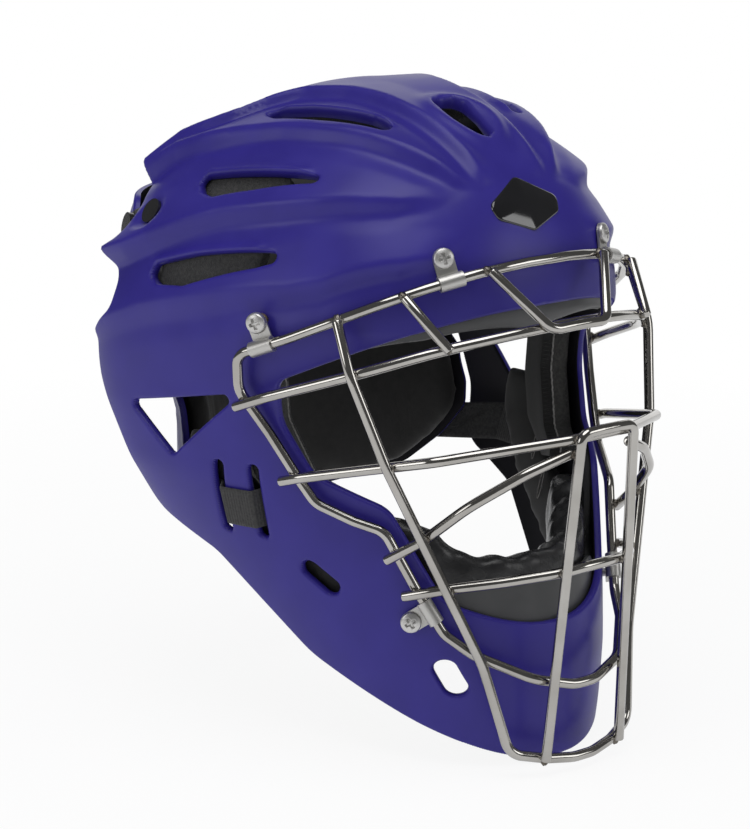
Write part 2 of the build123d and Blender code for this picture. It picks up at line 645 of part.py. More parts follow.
def lower_strap_outline(level):
    """Plan outline of a lower strap: inside, out through a slot, back in and to the plate."""
    rear_y, front_y = [(a[0] + b[0]) / 2.0 * shell_reach for a, b in strap_slot_shares]
    half, far = strap_thickness / 2.0, strap_gap + strap_thickness
    rear_run = [share * shell_reach for share in lower_strap_rear_shares]
    inner_skin, outer_skin, plate = skin(shell_wall), skin(0.0), plate_skin(0.0)
    away = [(inner_skin, front_y - lower_strap_tail, -strap_gap),
            (inner_skin, front_y - half, -strap_gap), (outer_skin, front_y - half, far),
            (outer_skin, (front_y + rear_y) / 2.0, far), (outer_skin, rear_y + half, far),
            (inner_skin, rear_y + half, -strap_gap)]
    back = [(inner_skin, front_y - lower_strap_tail, -far), (inner_skin, front_y + half, -far),
            (outer_skin, front_y + half, strap_gap),
            (outer_skin, (front_y + rear_y) / 2.0, strap_gap),
            (outer_skin, rear_y - half, strap_gap), (inner_skin, rear_y - half, -far)]
    away += [(inner_skin, y, -strap_gap) for y in rear_run]
    back += [(inner_skin, y, -far) for y in rear_run]
    away += [(plate, share * shell_reach, far) for share in lower_strap_seat_shares]
    back += [(plate, share * shell_reach, strap_gap) for share in lower_strap_seat_shares]
    return [strap_face(surface, y, level, lift) for surface, y, lift in away + back[::-1]]


with BuildPart() as lower_strap:
    for level in (lower_strap_top, lower_strap_top - lower_strap_width):
        with BuildSketch(Plane.XY.offset(level)):
            with BuildLine():
                Polyline(*lower_strap_outline(level), close=True)
            make_face()
    loft(ruled=True)

# Upper strap: from under the shell's rivet back to the rear plate
plate_seats = []
for angle, level_share in upper_strap_seat_shares:
    turn, level = math.radians(angle), level_share * chin_drop
    ray = (-math.sin(turn), -math.cos(turn), 0.0)
    plate_seats.append(last_hit(plate_skin(0.0), (0.0, plate_ring_shares[-1][3] * shell_back, level), ray))
rivet_out = rivet_plane.z_dir
rivet_depth = shell_wall + upper_strap_room
rivet_seat = rivet_plane.origin - rivet_out * (rivet_depth + strap_thickness / 2.0)
strap_line = plate_seats[0][0] - rivet_seat
strap_line = (strap_line - rivet_out * strap_line.dot(rivet_out)).normalized()
strap_stations = [(rivet_seat + strap_line * reach, rivet_out)
                  for reach in (-upper_strap_tail, 0.0, upper_strap_lap)]
strap_stations += [(point + outward * (strap_gap + strap_thickness / 2.0), outward)
                   for point, outward in plate_seats]
with BuildPart() as upper_strap:
    for i, (point, facing) in enumerate(strap_stations):
        before = strap_stations[max(i - 1, 0)][0]
        after = strap_stations[min(i + 1, len(strap_stations) - 1)][0]
        across = facing.cross(after - before).normalized()
        with BuildSketch(Plane(point, x_dir=across, z_dir=across.cross(facing))):
            Rectangle(upper_strap_width, strap_thickness)
    loft(ruled=True)

with BuildPart() as strap_rivet:
    with BuildSketch(rivet_plane.offset(rivet_gap)):
        Circle(rivet_head_diameter / 2.0)
    extrude(amount=rivet_head_height)
    with BuildSketch(rivet_plane.offset(rivet_gap)):
        Circle(rivet_diameter / 2.0)
    extrude(amount=-(rivet_gap + rivet_depth - anchor_gap))

anchor_lift = strap_gap + strap_thickness + anchor_gap
anchor_level = lower_strap_top - lower_strap_width / 2.0
lower_seat = last_hit(plate_skin(0.0), (
    0.0, lower_strap_seat_shares[1] * shell_reach, anchor_level), (-1.0, 0.0, 0.0))
anchor_seats = {"upper_strap_anchor": plate_seats[1], "lower_strap_anchor": lower_seat}
anchors = {}
for name, (origin, outward) in anchor_seats.items():
    with BuildPart() as anchor:
        with BuildSketch(Plane(origin + outward * anchor_lift, z_dir=outward)):
            Circle(anchor_diameter / 2.0)
        extrude(amount=anchor_thickness)
    anchors[name] = anchor.part

# The right side's pieces are as modelled, and the left side's are mirrored
paired = {
    "cage_diagonal_bar": diagonal_bar, "cage_brow_strut": brow_strut, "temple_pad": temple_pad,
    "cheek_pad": cheek_pad, "jaw_pad": jaw_pad, "lower_strap": lower_strap.part,
    "upper_strap": upper_strap.part, "strap_rivet": strap_rivet.part, **fasteners, **anchors,
}
for name, right_piece in paired.items():
    for side in ("right", "left"):
        with BuildPart() as piece:
            add(right_piece if side == "right" else mirror(right_piece, about=Plane.YZ))
        save(piece.part, name + "_" + side)
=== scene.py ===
import math

import bpy
import numpy as np
from mathutils import Matrix, Vector
from mathutils.geometry import delaunay_2d_cdt
from mathutils.kdtree import KDTree


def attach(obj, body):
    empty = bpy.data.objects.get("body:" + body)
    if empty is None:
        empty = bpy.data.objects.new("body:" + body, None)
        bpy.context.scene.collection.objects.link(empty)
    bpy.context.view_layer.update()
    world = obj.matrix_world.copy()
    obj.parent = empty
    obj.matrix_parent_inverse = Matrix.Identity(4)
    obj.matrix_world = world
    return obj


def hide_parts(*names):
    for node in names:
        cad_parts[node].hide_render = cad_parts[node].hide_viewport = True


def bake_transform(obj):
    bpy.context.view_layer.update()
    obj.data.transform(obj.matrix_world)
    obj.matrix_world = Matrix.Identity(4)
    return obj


# Looks of the catcher helmet on its CAD frame. Lengths below are millimetres unless said;
# a mesh gets metres when it is made. The wearer's right side, at -X, faces the camera.

bl_info = {
    "name": "Catcher helmet looks",
    "version": (1, 0, 0),
    "blender": (4, 5, 0),
    "location": "3D View > Sidebar > Helmet",
    "description": "Dresses the packed catcher helmet with its modelled shell, cage and pads",
    "category": "Object",
}

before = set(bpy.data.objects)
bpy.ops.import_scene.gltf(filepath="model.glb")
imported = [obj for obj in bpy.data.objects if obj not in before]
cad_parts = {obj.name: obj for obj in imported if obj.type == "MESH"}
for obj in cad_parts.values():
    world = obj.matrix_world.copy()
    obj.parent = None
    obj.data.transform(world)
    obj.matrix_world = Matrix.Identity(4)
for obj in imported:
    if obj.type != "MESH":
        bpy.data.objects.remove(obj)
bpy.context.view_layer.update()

METRES = 0.001
HALF_WIDTH, REACH, BACK, CROWN, DROP = 115.0, 142.0, 114.0, 151.0, 152.0
WIDEST, DRIFT, WALL = 20.0, 40.0, 4.0
BEND = 20.0
DEGREE_LENGTH = 2.2
DIM = 0.10

# Raised lips of the side vents: height, place and spread of the lip, its blend and end fade
HOOD, HOOD_PLACE, HOOD_SPREAD, HOOD_BLEND, HOOD_FADE = 1.8, 1.6, 2.1, 5.0, 8.0

# Raised rim of the top vent: half width, half length, middle, height, place and spread
RIM_WIDTH, RIM_LENGTH, RIM_MIDDLE = 13.5, 19.0, -72.0
RIM_HEIGHT, RIM_PLACE, RIM_SPREAD = 2.4, 0.95, 0.28

# Badge recess: margin, depth of its wall and floor, and the small rim round it
RECESS_MARGIN, RECESS_WALL, RECESS_FLOOR, RECESS_RIM = 3.6, 1.9, 2.1, 0.5

# Flat seat round a strap rivet and how far it fades into the shell
SEAT_REACH, SEAT_FADE = 5.0, 6.0

RING_SHARES = [
    (-1.000, 0.470, 0.993, -0.088, -0.667, 2.05),
    (-0.855, 0.557, 1.000, 0.044, -0.544, 2.04),
    (-0.691, 0.652, 1.000, 0.219, -0.368, 2.03),
    (-0.526, 0.748, 0.979, 0.439, -0.158, 2.01),
    (-0.329, 0.861, 0.944, 0.702, 0.070, 1.97),
    (-0.132, 0.965, 0.908, 0.877, 0.211, 1.88),
    (0.033, 0.996, 0.891, 0.965, 0.281, 1.94),
    (0.132, 1.000, 0.880, 1.000, 0.298, 2.03),
]
OUTLINE_SHARES = [
    (0.22, 1.15, 0.0), (0.21, 0.84, 0.10), (0.375, 0.700, 0.05), (0.33, 0.630, 0.20),
    (0.27, 0.540, 0.50), (0.365, 0.480, 0.05), (0.300, 0.400, 0.40), (0.305, 0.320, 0.40),
    (0.425, 0.225, 0.40), (0.395, 0.090, 1.00), (0.275, -0.120, 1.00), (0.205, -0.300, 1.00),
    (-0.056, -0.400, 1.00), (-0.370, -0.680, 2.00), (-0.740, -0.850, 2.00),
    (-1.000, -0.965, 0.50), (-1.160, -0.990, 0.0), (-1.160, -0.560, 0.0),
    (-0.985, -0.545, 0.60), (-0.820, -0.460, 0.60), (-0.680, -0.185, 0.70),
    (-0.480, -0.095, 0.70), (-0.395, 0.060, 1.00), (-0.395, 0.180, 0.40),
    (-0.890, 0.400, 0.80), (-1.160, 0.430, 0.0), (-1.160, 1.15, 0.0),
]
# Terraces of the shell: rise above the crest in degrees, its power, and crest stations (Y in
# mm, degrees from upright, height in mm, width of the wall below it in degrees, dip at its foot)
TERRACES = {
    "top": (13.0, 1.9, [
        (60, 44.0, 3.0, 3.0, 0.0), (38, 35.5, 4.2, 2.6, 0.5), (24, 32.0, 4.2, 2.6, 0.8),
        (14, 27.0, 4.2, 2.6, 0.8), (8, 21.0, 4.0, 2.6, 0.8), (-3, 15.4, 3.8, 2.6, 0.8),
        (-25, 11.2, 3.6, 2.7, 0.9), (-43, 9.8, 3.5, 2.8, 1.0), (-64, 9.3, 3.5, 3.0, 1.2),
        (-80, 9.2, 3.3, 3.4, 1.5), (-93, 9.1, 2.8, 3.8, 1.7), (-101, 9.4, 1.6, 4.0, 1.1),
        (-107, 9.4, 0.0, 4.0, 0.0)]),
    "upper": (12.0, 1.5, [
        (60, 45.0, 9.5, 4.0, 0.0), (35, 38.0, 8.0, 4.0, 0.2), (13, 34.5, 6.2, 4.0, 0.6),
        (-4, 31.4, 5.0, 4.0, 0.8), (-23, 28.2, 4.6, 4.0, 0.9), (-40, 26.2, 4.5, 4.0, 1.0),
        (-58, 23.4, 4.4, 4.0, 1.0), (-77, 20.7, 4.3, 4.2, 1.0), (-91, 18.2, 3.8, 4.5, 1.2),
        (-101, 15.6, 2.4, 4.5, 0.8), (-107, 12.5, 0.0, 4.5, 0.0)]),
    "middle": (12.0, 1.5, [
        (57, 64.5, 9.5, 4.0, 0.0), (35, 61.5, 8.4, 4.0, 0.2), (14, 57.0, 6.6, 4.2, 0.5),
        (-3, 53.2, 5.6, 4.4, 0.7), (-19, 49.8, 4.9, 4.6, 0.8), (-36, 47.0, 4.6, 4.8, 0.9),
        (-51, 44.1, 4.5, 5.0, 1.0), (-65, 40.9, 4.4, 5.0, 1.0), (-83, 35.4, 3.8, 5.2, 1.0),
        (-93, 31.0, 2.8, 5.4, 0.9), (-99, 26.8, 1.3, 5.4, 0.4), (-104, 23.5, 0.0, 5.4, 0.0)]),
    "lower": (10.0, 1.4, [
        (57, 80.0, 3.6, 5.0, 0.0), (20, 73.0, 3.2, 5.5, 0.3), (-23, 67.0, 3.0, 6.0, 0.5),
        (-63, 60.6, 3.1, 6.0, 0.7), (-77, 56.8, 3.1, 6.0, 0.8), (-93, 49.0, 3.0, 6.0, 0.9),
        (-103, 43.4, 2.7, 6.0, 0.8), (-111, 36.4, 1.6, 6.0, 0.4), (-115, 31.0, 0.0, 6.0, 0.0)]),
}
# Side vents as loops of (degrees from upright, Y in mm)
VENTS = [
    [(26.0, -1), (27.2, -12), (24.6, -35), (22.0, -52), (19.7, -66), (17.2, -66), (17.5, -54),
     (20.9, -25), (24.0, -5)],
    [(45.5, 5), (43.6, 5), (40.4, -24), (38.2, -43), (36.3, -58), (38.2, -58), (44.3, -30),
     (48.0, -9), (47.4, 0)],
    [(67.0, 17), (64.2, 15), (60.2, -11), (54.9, -54), (57.2, -54), (59.6, -45), (67.4, -6),
     (68.4, 12)],
]
TOP_VENT = [(0.0, -88.0), (-4.5, -86.0), (-7.5, -74.0), (-9.0, -62.0), (-6.5, -58.0), (0, -57)]
EAR_HOLE = [(0.214, 0.048), (-0.268, 0.133), (0.028, -0.099)]
SLOTS = [
    ((-0.165, -0.085), (-0.150, -0.315), 4.5), ((-0.290, -0.085), (-0.295, -0.315), 4.5),
    ((-0.425, -0.378), (-0.530, -0.455), 8.0), ((-0.815, -0.640), (-0.860, -0.745), 8.5),
]
BADGE_WIDTH, BADGE_HEIGHT, BADGE_LEVEL, BADGE_TILT = 43.0, 27.0, 105.5, 32.0
RIVET_SPOT = np.array([99.4, 30.6, 93.6])
BADGE_SHARES = [(0.0, 1.0), (-0.95, 0.10), (-0.85, -0.45), (0.0, -1.0), (0.85, -0.45),
                (0.95, 0.10)]

PERIMETER = [
    (0.0, 0.539, 0.33, 0.0), (4.5, 0.539, 0.33, 1.5), (10.0, 0.533, 0.33, 1.5),
    (17.0, 0.521, 0.33, 1.5), (28.0, 0.486, 0.33, 1.5), (37.0, 0.444, 0.33, 1.5),
    (46.5, 0.388, 0.35, 1.5), (55.0, 0.330, 0.40, 1.5), (63.8, 0.268, 0.50, 0.4),
    (62.5, 0.158, 0.42, 0.6), (57.0, 0.030, 0.32, 1.5), (53.5, -0.092, 0.32, 0.8),
    (51.5, -0.171, 0.34, 0.6), (45.5, -0.217, 0.34, 1.0), (40.2, -0.243, 0.36, 0.5),
    (38.2, -0.414, 0.34, 0.6), (35.8, -0.546, 0.38, 0.6), (30.0, -0.602, 0.59, 0.7),
    (16.0, -0.674, 0.97, 1.0), (4.0, -0.707, 1.00, 1.0), (0.0, -0.707, 1.00, 0.0),
]
STAND_OFF, WIRE_RADIUS = 14.5, 2.4
CLIP_RUNS, CLIP_REACH = {"brow": 3, "temple": 7, "jaw": 15}, 10.5
BARS = {
    "cage_upper_bar": [
        (-0.9645, -0.311, 0.108, 0.0), (-0.929, -0.423, 0.151, 2.0),
        (-0.775, -0.697, 0.242, 3.0), (-0.539, -0.887, 0.318, 3.0),
        (-0.261, -0.996, 0.357, 3.0), (-0.060, -1.026, 0.368, 2.0), (0.0, -1.026, 0.368, 0.0)],
    "cage_lower_bar": [
        (-0.857, -0.428, -0.110, 0.0), (-0.834, -0.497, -0.089, 1.0),
        (-0.604, -0.922, 0.005, 0.75), (-0.150, -1.153, 0.057, 0.6),
        (-0.060, -1.158, 0.060, 0.5), (0.0, -1.158, 0.060, 0.0)],
    "cage_mouth_bar": [
        (-0.590, -0.766, -0.430, 0.0), (-0.499, -0.880, -0.399, 2.5),
        (-0.348, -1.012, -0.372, 2.5), (-0.157, -1.121, -0.347, 2.0),
        (-0.050, -1.140, -0.338, 1.0), (0.0, -1.140, -0.338, 0.0)],
    "cage_outer_guard": [
        (-0.790, -0.643, 0.398, 0.0), (-0.800, -0.716, 0.247, 1.5),
        (-0.710, -0.803, -0.022, 2.5), (-0.398, -0.972, -0.625, 2.0),
        (-0.322, -1.033, -0.897, 0.5), (-0.174, -1.078, -0.924, 1.0),
        (-0.050, -1.098, -0.936, 1.0), (0.0, -1.098, -0.936, 0.0)],
    "cage_nose_guard": [
        (-0.200, -1.096, -0.925, 0.0), (-0.139, -1.186, 0.077, 0.25),
        (-0.040, -1.191, 0.081, 0.4), (0.0, -1.191, 0.081, 0.0)],
    "cage_brow_bracket": [
        (-0.300, -0.908, 0.533, 0.0), (-0.143, -1.054, 0.365, 0.35),
        (-0.040, -1.057, 0.368, 0.4), (0.0, -1.057, 0.368, 0.0)],
}
SIDE_BARS = {
    "cage_diagonal_bar": [
        (-0.627, -0.722, -0.325, 0.0), (-0.565, -0.840, -0.250, 2.0),
        (-0.491, -0.982, -0.132, 1.5), (-0.313, -1.094, -0.033, 1.5),
        (-0.152, -1.152, 0.018, 0.0)],
    "cage_brow_strut": [(-0.606, -0.787, 0.467, 0.0), (-0.524, -0.926, 0.322, 0.0)],
}

CHEEK_SHARES = [
    (-0.375, 0.180), (-0.375, 0.040), (-0.455, -0.130), (-0.610, -0.193), (-0.440, -0.240),
    (-0.270, -0.150), (-0.215, 0.000), (-0.215, 0.190),
]
JAW_SHARES = [
    (-0.198, -0.020), (-0.250, -0.165), (-0.420, -0.295), (-0.560, -0.450), (-0.560, -0.560),
    (-0.400, -0.520), (-0.150, -0.350), (0.000, -0.190), (0.020, -0.100), (0.010, -0.020),
]
CUP_SHARES = [
    (-1.160, -0.660), (-1.160, -0.345), (-0.880, -0.340), (-0.780, -0.265), (-0.700, -0.225),
    (-0.592, -0.225), (-0.592, -0.660),
]
PANEL_SHARES = [
    (-1.160, -0.630), (-1.160, -0.415), (-0.850, -0.420), (-0.800, -0.460), (-0.800, -0.630),
]
PLATE_RINGS = [
    (-78.0, 87.0, 92.0, -6.0), (-40.0, 95.0, 94.0, -11.0), (0.0, 98.0, 95.0, -15.0),
    (30.0, 96.0, 93.0, 14.0), (60.0, 91.0, 90.0, 36.0), (98.0, 83.0, 88.0, 34.0),
]
PLATE_SHARES = [
    (0.155, -0.080), (0.190, 0.030), (0.420, 0.240), (0.590, 0.600), (1.000, 0.600),
    (1.000, -0.460), (0.530, -0.440), (0.340, -0.365), (0.240, -0.270), (0.155, -0.160),
]


def signed_power(value, power):
    return np.sign(value) * np.abs(value) ** power


def ease(value):
    value = np.clip(value, 0.0, 1.0)
    return value * value * (3.0 - 2.0 * value)


def unit(vectors):
    return vectors / np.maximum(np.linalg.norm(vectors, axis=-1, keepdims=True), 1e-12)


def side_place(shares):
    return shares[0] * REACH, shares[1] * DROP


class Skin:
    """The shell's base surface, laid flat on a disc round its crown so that angles keep."""

    def __init__(self):
        rows = np.array(RING_SHARES) * (DROP, HALF_WIDTH, REACH, BACK, BACK, 1.0)
        self.levels = np.arange(-175.0, 80.0, 1.0)
        window = np.hanning(17)
        window /= window.sum()
        self.columns = []
        for column in rows.T[1:]:
            plain = np.interp(np.arange(-183.0, 88.0, 1.0), rows[:, 0], column)
            self.columns.append(np.convolve(plain, window, "valid"))
        dome = CROWN - (CROWN - WIDEST) * np.linspace(0.0, 1.0, 600) ** 2
        heights = np.concatenate([dome, np.arange(WIDEST - 1.0, -172.0, -1.0)])
        side, ahead, behind, _, _ = self.sizes(heights)
        radius = (2.0 * side + ahead + behind) / 4.0
        step = np.hypot(np.diff(radius), np.diff(heights))
        first = int(np.argmax(radius > 3.0))
        growth = step / ((radius[1:] + radius[:-1]) / 2.0 + 1e-9)
        grown = np.concatenate([[0.0], np.cumsum(growth[first:])])
        spread = radius[first] * np.exp(grown)
        self.spread = np.concatenate([radius[:first], spread])
        self.heights, self.radius = heights, radius
        self.turn = 1.0

    def sizes(self, height):
        width, front, back, centre, full = [
            np.interp(height, self.levels, column) for column in self.columns]
        rise = np.clip((height - WIDEST) / (CROWN - WIDEST), 0.0, 0.99999)
        full = full + (2.30 - full) * np.minimum(1.0, 4.0 * rise)
        side = width * np.sqrt(1.0 - rise ** 2.5)
        ahead = (front + centre) * np.sqrt(1.0 - rise ** 2.38)
        behind = (back - centre) * np.sqrt(1.0 - rise ** 2.6)
        return side, ahead, behind, centre - DRIFT * rise ** 1.5, full

    def point(self, angle, height):
        side, ahead, behind, middle, full = self.sizes(height)
        across, along = np.sin(angle), np.cos(angle)
        power = 2.0 / np.where(along > 0.0, full, 2.30)
        reach = np.where(along > 0.0, ahead, behind)
        return np.stack([-side * signed_power(across, power),
                         middle - reach * signed_power(along, power),
                         height + 0.0 * angle], axis=-1)

    def half_width(self, y, height):
        side, ahead, behind, middle, full = self.sizes(height)
        power = np.where(y < middle, full, 2.30)
        share = np.abs(y - middle) / np.where(y < middle, ahead, behind)
        left = 1.0 - share ** power
        return np.where(left > 0.0, side * np.maximum(left, 0.0) ** (1.0 / power), -1.0)

    def angle_at(self, y, height):
        _, ahead, behind, middle, full = self.sizes(height)
        power = np.where(y < middle, full, 2.30)
        share = np.clip(np.abs(y - middle) / np.where(y < middle, ahead, behind), 0.0, 1.0)
        along = share ** (power / 2.0)
        return np.arccos(np.where(y < middle, along, -along))

    def flat(self, angle, height):
        reach = np.interp(-np.asarray(height, float), -self.heights, self.spread)
        return np.stack([-reach * np.sin(angle), -reach * np.cos(angle)], axis=-1)

    def unflat(self, flat):
        reach = np.hypot(flat[..., 0], flat[..., 1])
        return (np.arctan2(-flat[..., 0], -flat[..., 1]),
                np.interp(reach, self.spread, self.heights))

    def scale(self, flat):
        reach = np.hypot(flat[..., 0], flat[..., 1])
        return np.interp(reach, self.spread, self.radius) / np.maximum(reach, 1e-6)

    def grid(self, outer, spacing):
        reach = np.hypot(outer[:, 0], outer[:, 1])
        near = max(2.0, reach.min() if abs(outer[:, 1]).min() > 3.0 else 2.0)
        found, row = [], 0
        while near < reach.max():
            scale = float(self.scale(np.array([near, 0.0])))
            count = max(3, int(math.pi * near * scale / spacing))
            angle = (np.arange(count) + (0.25, 0.75)[row % 2]) * math.pi / count
            found.append(np.stack([-near * np.sin(angle), -near * np.cos(angle)], axis=-1))
            near += 0.87 * spacing / scale
            row += 1
        return np.concatenate(found)


class Plate:
    """The rear plate's surface, unrolled round its height."""

    def __init__(self):
        self.rings = np.array(PLATE_RINGS)
        levels = np.arange(-90.0, 110.0, 1.0)
        window = np.hanning(15)
        window /= window.sum()
        self.levels = levels
        self.columns = [
            np.convolve(np.interp(np.arange(-97.0, 117.0, 1.0), self.rings[:, 0], column),
                        window, "valid") for column in self.rings.T[1:]]
        self.turn = -1.0

    def sizes(self, height):
        return [np.interp(height, self.levels, column) for column in self.columns]

    def point(self, angle, height):
        side, reach, middle = self.sizes(height)
        return np.stack([-side * np.sin(angle), middle - reach * np.cos(angle),
                         height + 0.0 * angle], axis=-1)

    def half_width(self, y, height):
        side, reach, middle = self.sizes(height)
        left = 1.0 - ((y - middle) / reach) ** 2
        return np.where(left > 0.0, side * np.sqrt(np.maximum(left, 0.0)), -1.0)

    def angle_at(self, y, height):
        _, reach, middle = self.sizes(height)
        return np.arccos(np.clip((middle - y) / reach, -1.0, 1.0))

    def flat(self, angle, height):
        return np.stack([(angle - math.pi) * 93.0, height + 0.0 * angle], axis=-1)

    def unflat(self, flat):
        return flat[..., 0] / 93.0 + math.pi, flat[..., 1]

    def scale(self, flat):
        return np.ones(flat.shape[:-1])

    def grid(self, outer, spacing):
        low, high = outer.min(0), outer.max(0)
        found = []
        for row, v in enumerate(np.arange(low[1], high[1], 0.87 * spacing)):
            u = np.arange(high[0] - spacing * (0.5, 1.0)[row % 2], low[0], -spacing)
            found.append(np.stack([u, np.full(len(u), v)], axis=-1))
        return np.concatenate(found)


SKIN, PLATE = Skin(), Plate()


def normals(surface, flat):
    """Outward normals of a base surface."""
    reach = 0.4 / surface.scale(flat)[..., None]
    across = surface.point(*surface.unflat(flat + reach * (1.0, 0.0)))
    across = across - surface.point(*surface.unflat(flat - reach * (1.0, 0.0)))
    along = surface.point(*surface.unflat(flat + reach * (0.0, 1.0)))
    along = along - surface.point(*surface.unflat(flat - reach * (0.0, 1.0)))
    return unit(np.cross(across, along)) * surface.turn


def place_on(surface, angle, height, lift=0.0):
    """Points over a base surface at a lift along its normal."""
    flat = surface.flat(np.asarray(angle, float), np.asarray(height, float))
    return surface.point(*surface.unflat(flat)) + normals(surface, flat) * lift


def rounded(points, radii, closed=False, step=0.12):
    """Points along a line with its corners rounded, in two or three dimensions."""
    points = [np.asarray(p, float) for p in points]
    count = len(points)
    found = [] if closed else [points[0]]
    for i in range(0 if closed else 1, count if closed else count - 1):
        corner, radius = points[i], radii[i]
        before, after = points[i - 1] - corner, points[(i + 1) % count] - corner
        room = 0.49 * min(np.linalg.norm(before), np.linalg.norm(after))
        u, v = unit(before), unit(after)
        inner = math.acos(float(np.clip(u @ v, -1.0, 1.0)))
        if radius < 1e-6 or inner > math.pi - 0.01:
            found.append(corner)
            continue
        tangent = min(radius / math.tan(inner / 2.0), room)
        radius = tangent * math.tan(inner / 2.0)
        centre = corner + unit(u + v) * radius / math.sin(inner / 2.0)
        first, last = corner + u * tangent - centre, corner + v * tangent - centre
        sweep = math.pi - inner
        for share in np.linspace(0.0, 1.0, max(3, int(sweep / step) + 2)):
            weight = np.array([math.sin((1.0 - share) * sweep), math.sin(share * sweep)])
            weight /= math.sin(sweep)
            found.append(centre + weight[0] * first + weight[1] * last)
    if not closed:
        found.append(points[-1])
    return np.array(found)


def divide(points, step, closed=False):
    """A line's points again at about even steps, its ends kept."""
    if closed:
        points = np.concatenate([points, points[:1]])
    length = np.concatenate([[0.0], np.cumsum(np.linalg.norm(np.diff(points, axis=0), axis=1))])
    places = np.linspace(0.0, length[-1], max(4, int(length[-1] / step)) + 1)
    found = np.stack([np.interp(places, length, column) for column in points.T], axis=-1)
    return found[:-1] if closed else found


def divide_flat(surface, flat, step, closed=False):
    """The same for a line in the flat, by its real length on the surface."""
    if closed:
        flat = np.concatenate([flat, flat[:1]])
    real = surface.point(*surface.unflat(flat))
    length = np.concatenate([[0.0], np.cumsum(np.linalg.norm(np.diff(real, axis=0), axis=1))])
    places = np.linspace(0.0, length[-1], max(4, int(length[-1] / step)) + 1)
    found = np.stack([np.interp(places, length, column) for column in flat.T], axis=-1)
    return found[:-1] if closed else found


def runs_on(surface, loop):
    """Parts of a side-view loop that lie on the surface, each ended on the middle plane."""
    loop = divide(np.asarray(loop), 1.0, closed=True)
    on = surface.half_width(loop[:, 0], loop[:, 1]) > 0.0
    start = int(np.argmin(on))
    loop, on = np.roll(loop, -start, axis=0), np.roll(on, -start)
    found, run = [], []
    for i in range(len(loop)):
        if on[i] != on[i - 1] and i > 0:
            low, high = (loop[i - 1], loop[i]) if on[i] else (loop[i], loop[i - 1])
            for _ in range(30):
                middle = (low + high) / 2.0
                if surface.half_width(middle[0], middle[1]) > 0.0:
                    high = middle
                else:
                    low = middle
            run.append(high)
        if on[i]:
            run.append(loop[i])
        elif run:
            found.append(np.array(run))
            run = []
    if run:
        found.append(np.array(run))
    lines = []
    for run in found:
        angle = surface.angle_at(run[:, 0], run[:, 1])
        for end in (0, -1):
            angle[end] = 0.0 if angle[end] < math.pi / 2.0 else math.pi
        flat = surface.flat(angle, run[:, 1])
        flat[[0, -1], 0] = 0.0
        lines.append(flat)
    return lines


def side_loop(surface, loop, radius):
    """A closed side-view loop on the near half, in the flat."""
    line = rounded([side_place(share) for share in loop], [radius] * len(loop), closed=True)
    line = divide(line, 1.0, closed=True)
    return surface.flat(surface.angle_at(line[:, 0], line[:, 1]), line[:, 1])


def spoke_loop(loop, radius):
    """A closed loop of (degrees from upright, Y) on the dome's near half, in the flat."""
    scaled = [(angle * DEGREE_LENGTH, y) for angle, y in loop]
    line = divide(rounded(scaled, [radius] * len(loop), closed=True), 1.0, closed=True)
    turn = np.radians(line[:, 0] / DEGREE_LENGTH)
    near, far = np.zeros(len(line)), np.full(len(line), 300.0)
    for _ in range(40):
        middle = (near + far) / 2.0
        height = WIDEST + np.cos(turn) * middle
        inside = (height < CROWN) & (
            np.sin(turn) * middle < SKIN.half_width(line[:, 1], np.minimum(height, CROWN)))
        near, far = np.where(inside, middle, near), np.where(inside, far, middle)
    height = WIDEST + np.cos(turn) * near
    return SKIN.flat(SKIN.angle_at(line[:, 1], height), height)


def plan_line(points, radii):
    """A line of (X, Y) on the dome, in the flat."""
    line = divide(rounded(points, radii), 1.0)
    low, high = np.full(len(line), WIDEST), np.full(len(line), CROWN)
    for _ in range(40):
        middle = (low + high) / 2.0
        inside = SKIN.half_width(line[:, 1], middle) > np.abs(line[:, 0])
        low, high = np.where(inside, middle, low), np.where(inside, high, middle)
    across, middle = np.abs(line[:, 0]), SKIN.sizes(low)[3]
    angle = SKIN.angle_at(line[:, 1], low)
    angle[across < 1e-6] = np.where(line[across < 1e-6, 1] < middle[across < 1e-6], 0.0, math.pi)
    flat = SKIN.flat(angle, low)
    flat[across < 1e-6, 0] = 0.0
    return flat


def hole_at(surface, angle, height, radius):
    """A round hole's loop in the flat."""
    centre = surface.flat(np.array(angle), np.array(height))
    reach = radius / float(surface.scale(centre))
    turn = np.arange(24) * math.tau / 24
    return centre + reach * np.stack([np.cos(turn), np.sin(turn)], axis=-1)


def far_from(points, starts, ends):
    """Distance from each point to the nearest of some segments."""
    along = ends - starts
    square = np.maximum((along ** 2).sum(1), 1e-12)
    found = np.empty(len(points))
    for i in range(0, len(points), 2000):
        away = points[i:i + 2000, None] - starts
        share = np.clip((away * along).sum(2) / square, 0.0, 1.0)
        away -= share[..., None] * along
        found[i:i + 2000] = np.sqrt((away ** 2).sum(2).min(1))
    return found


def within(points, loops):
    """True where a point is inside the loops, by crossings."""
    starts = np.concatenate(loops)
    ends = np.concatenate([np.roll(loop, -1, axis=0) for loop in loops])
    found = np.empty(len(points), bool)
    for i in range(0, len(points), 2000):
        p = points[i:i + 2000, None]
        spans = (starts[:, 1] > p[..., 1]) != (ends[:, 1] > p[..., 1])
        rise = np.where(ends[:, 1] == starts[:, 1], 1e-12, ends[:, 1] - starts[:, 1])
        cross = starts[:, 0] + (p[..., 1] - starts[:, 1]) * (ends[:, 0] - starts[:, 0]) / rise
        found[i:i + 2000] = ((p[..., 0] < cross) & spans).sum(1) % 2 == 1
    return found


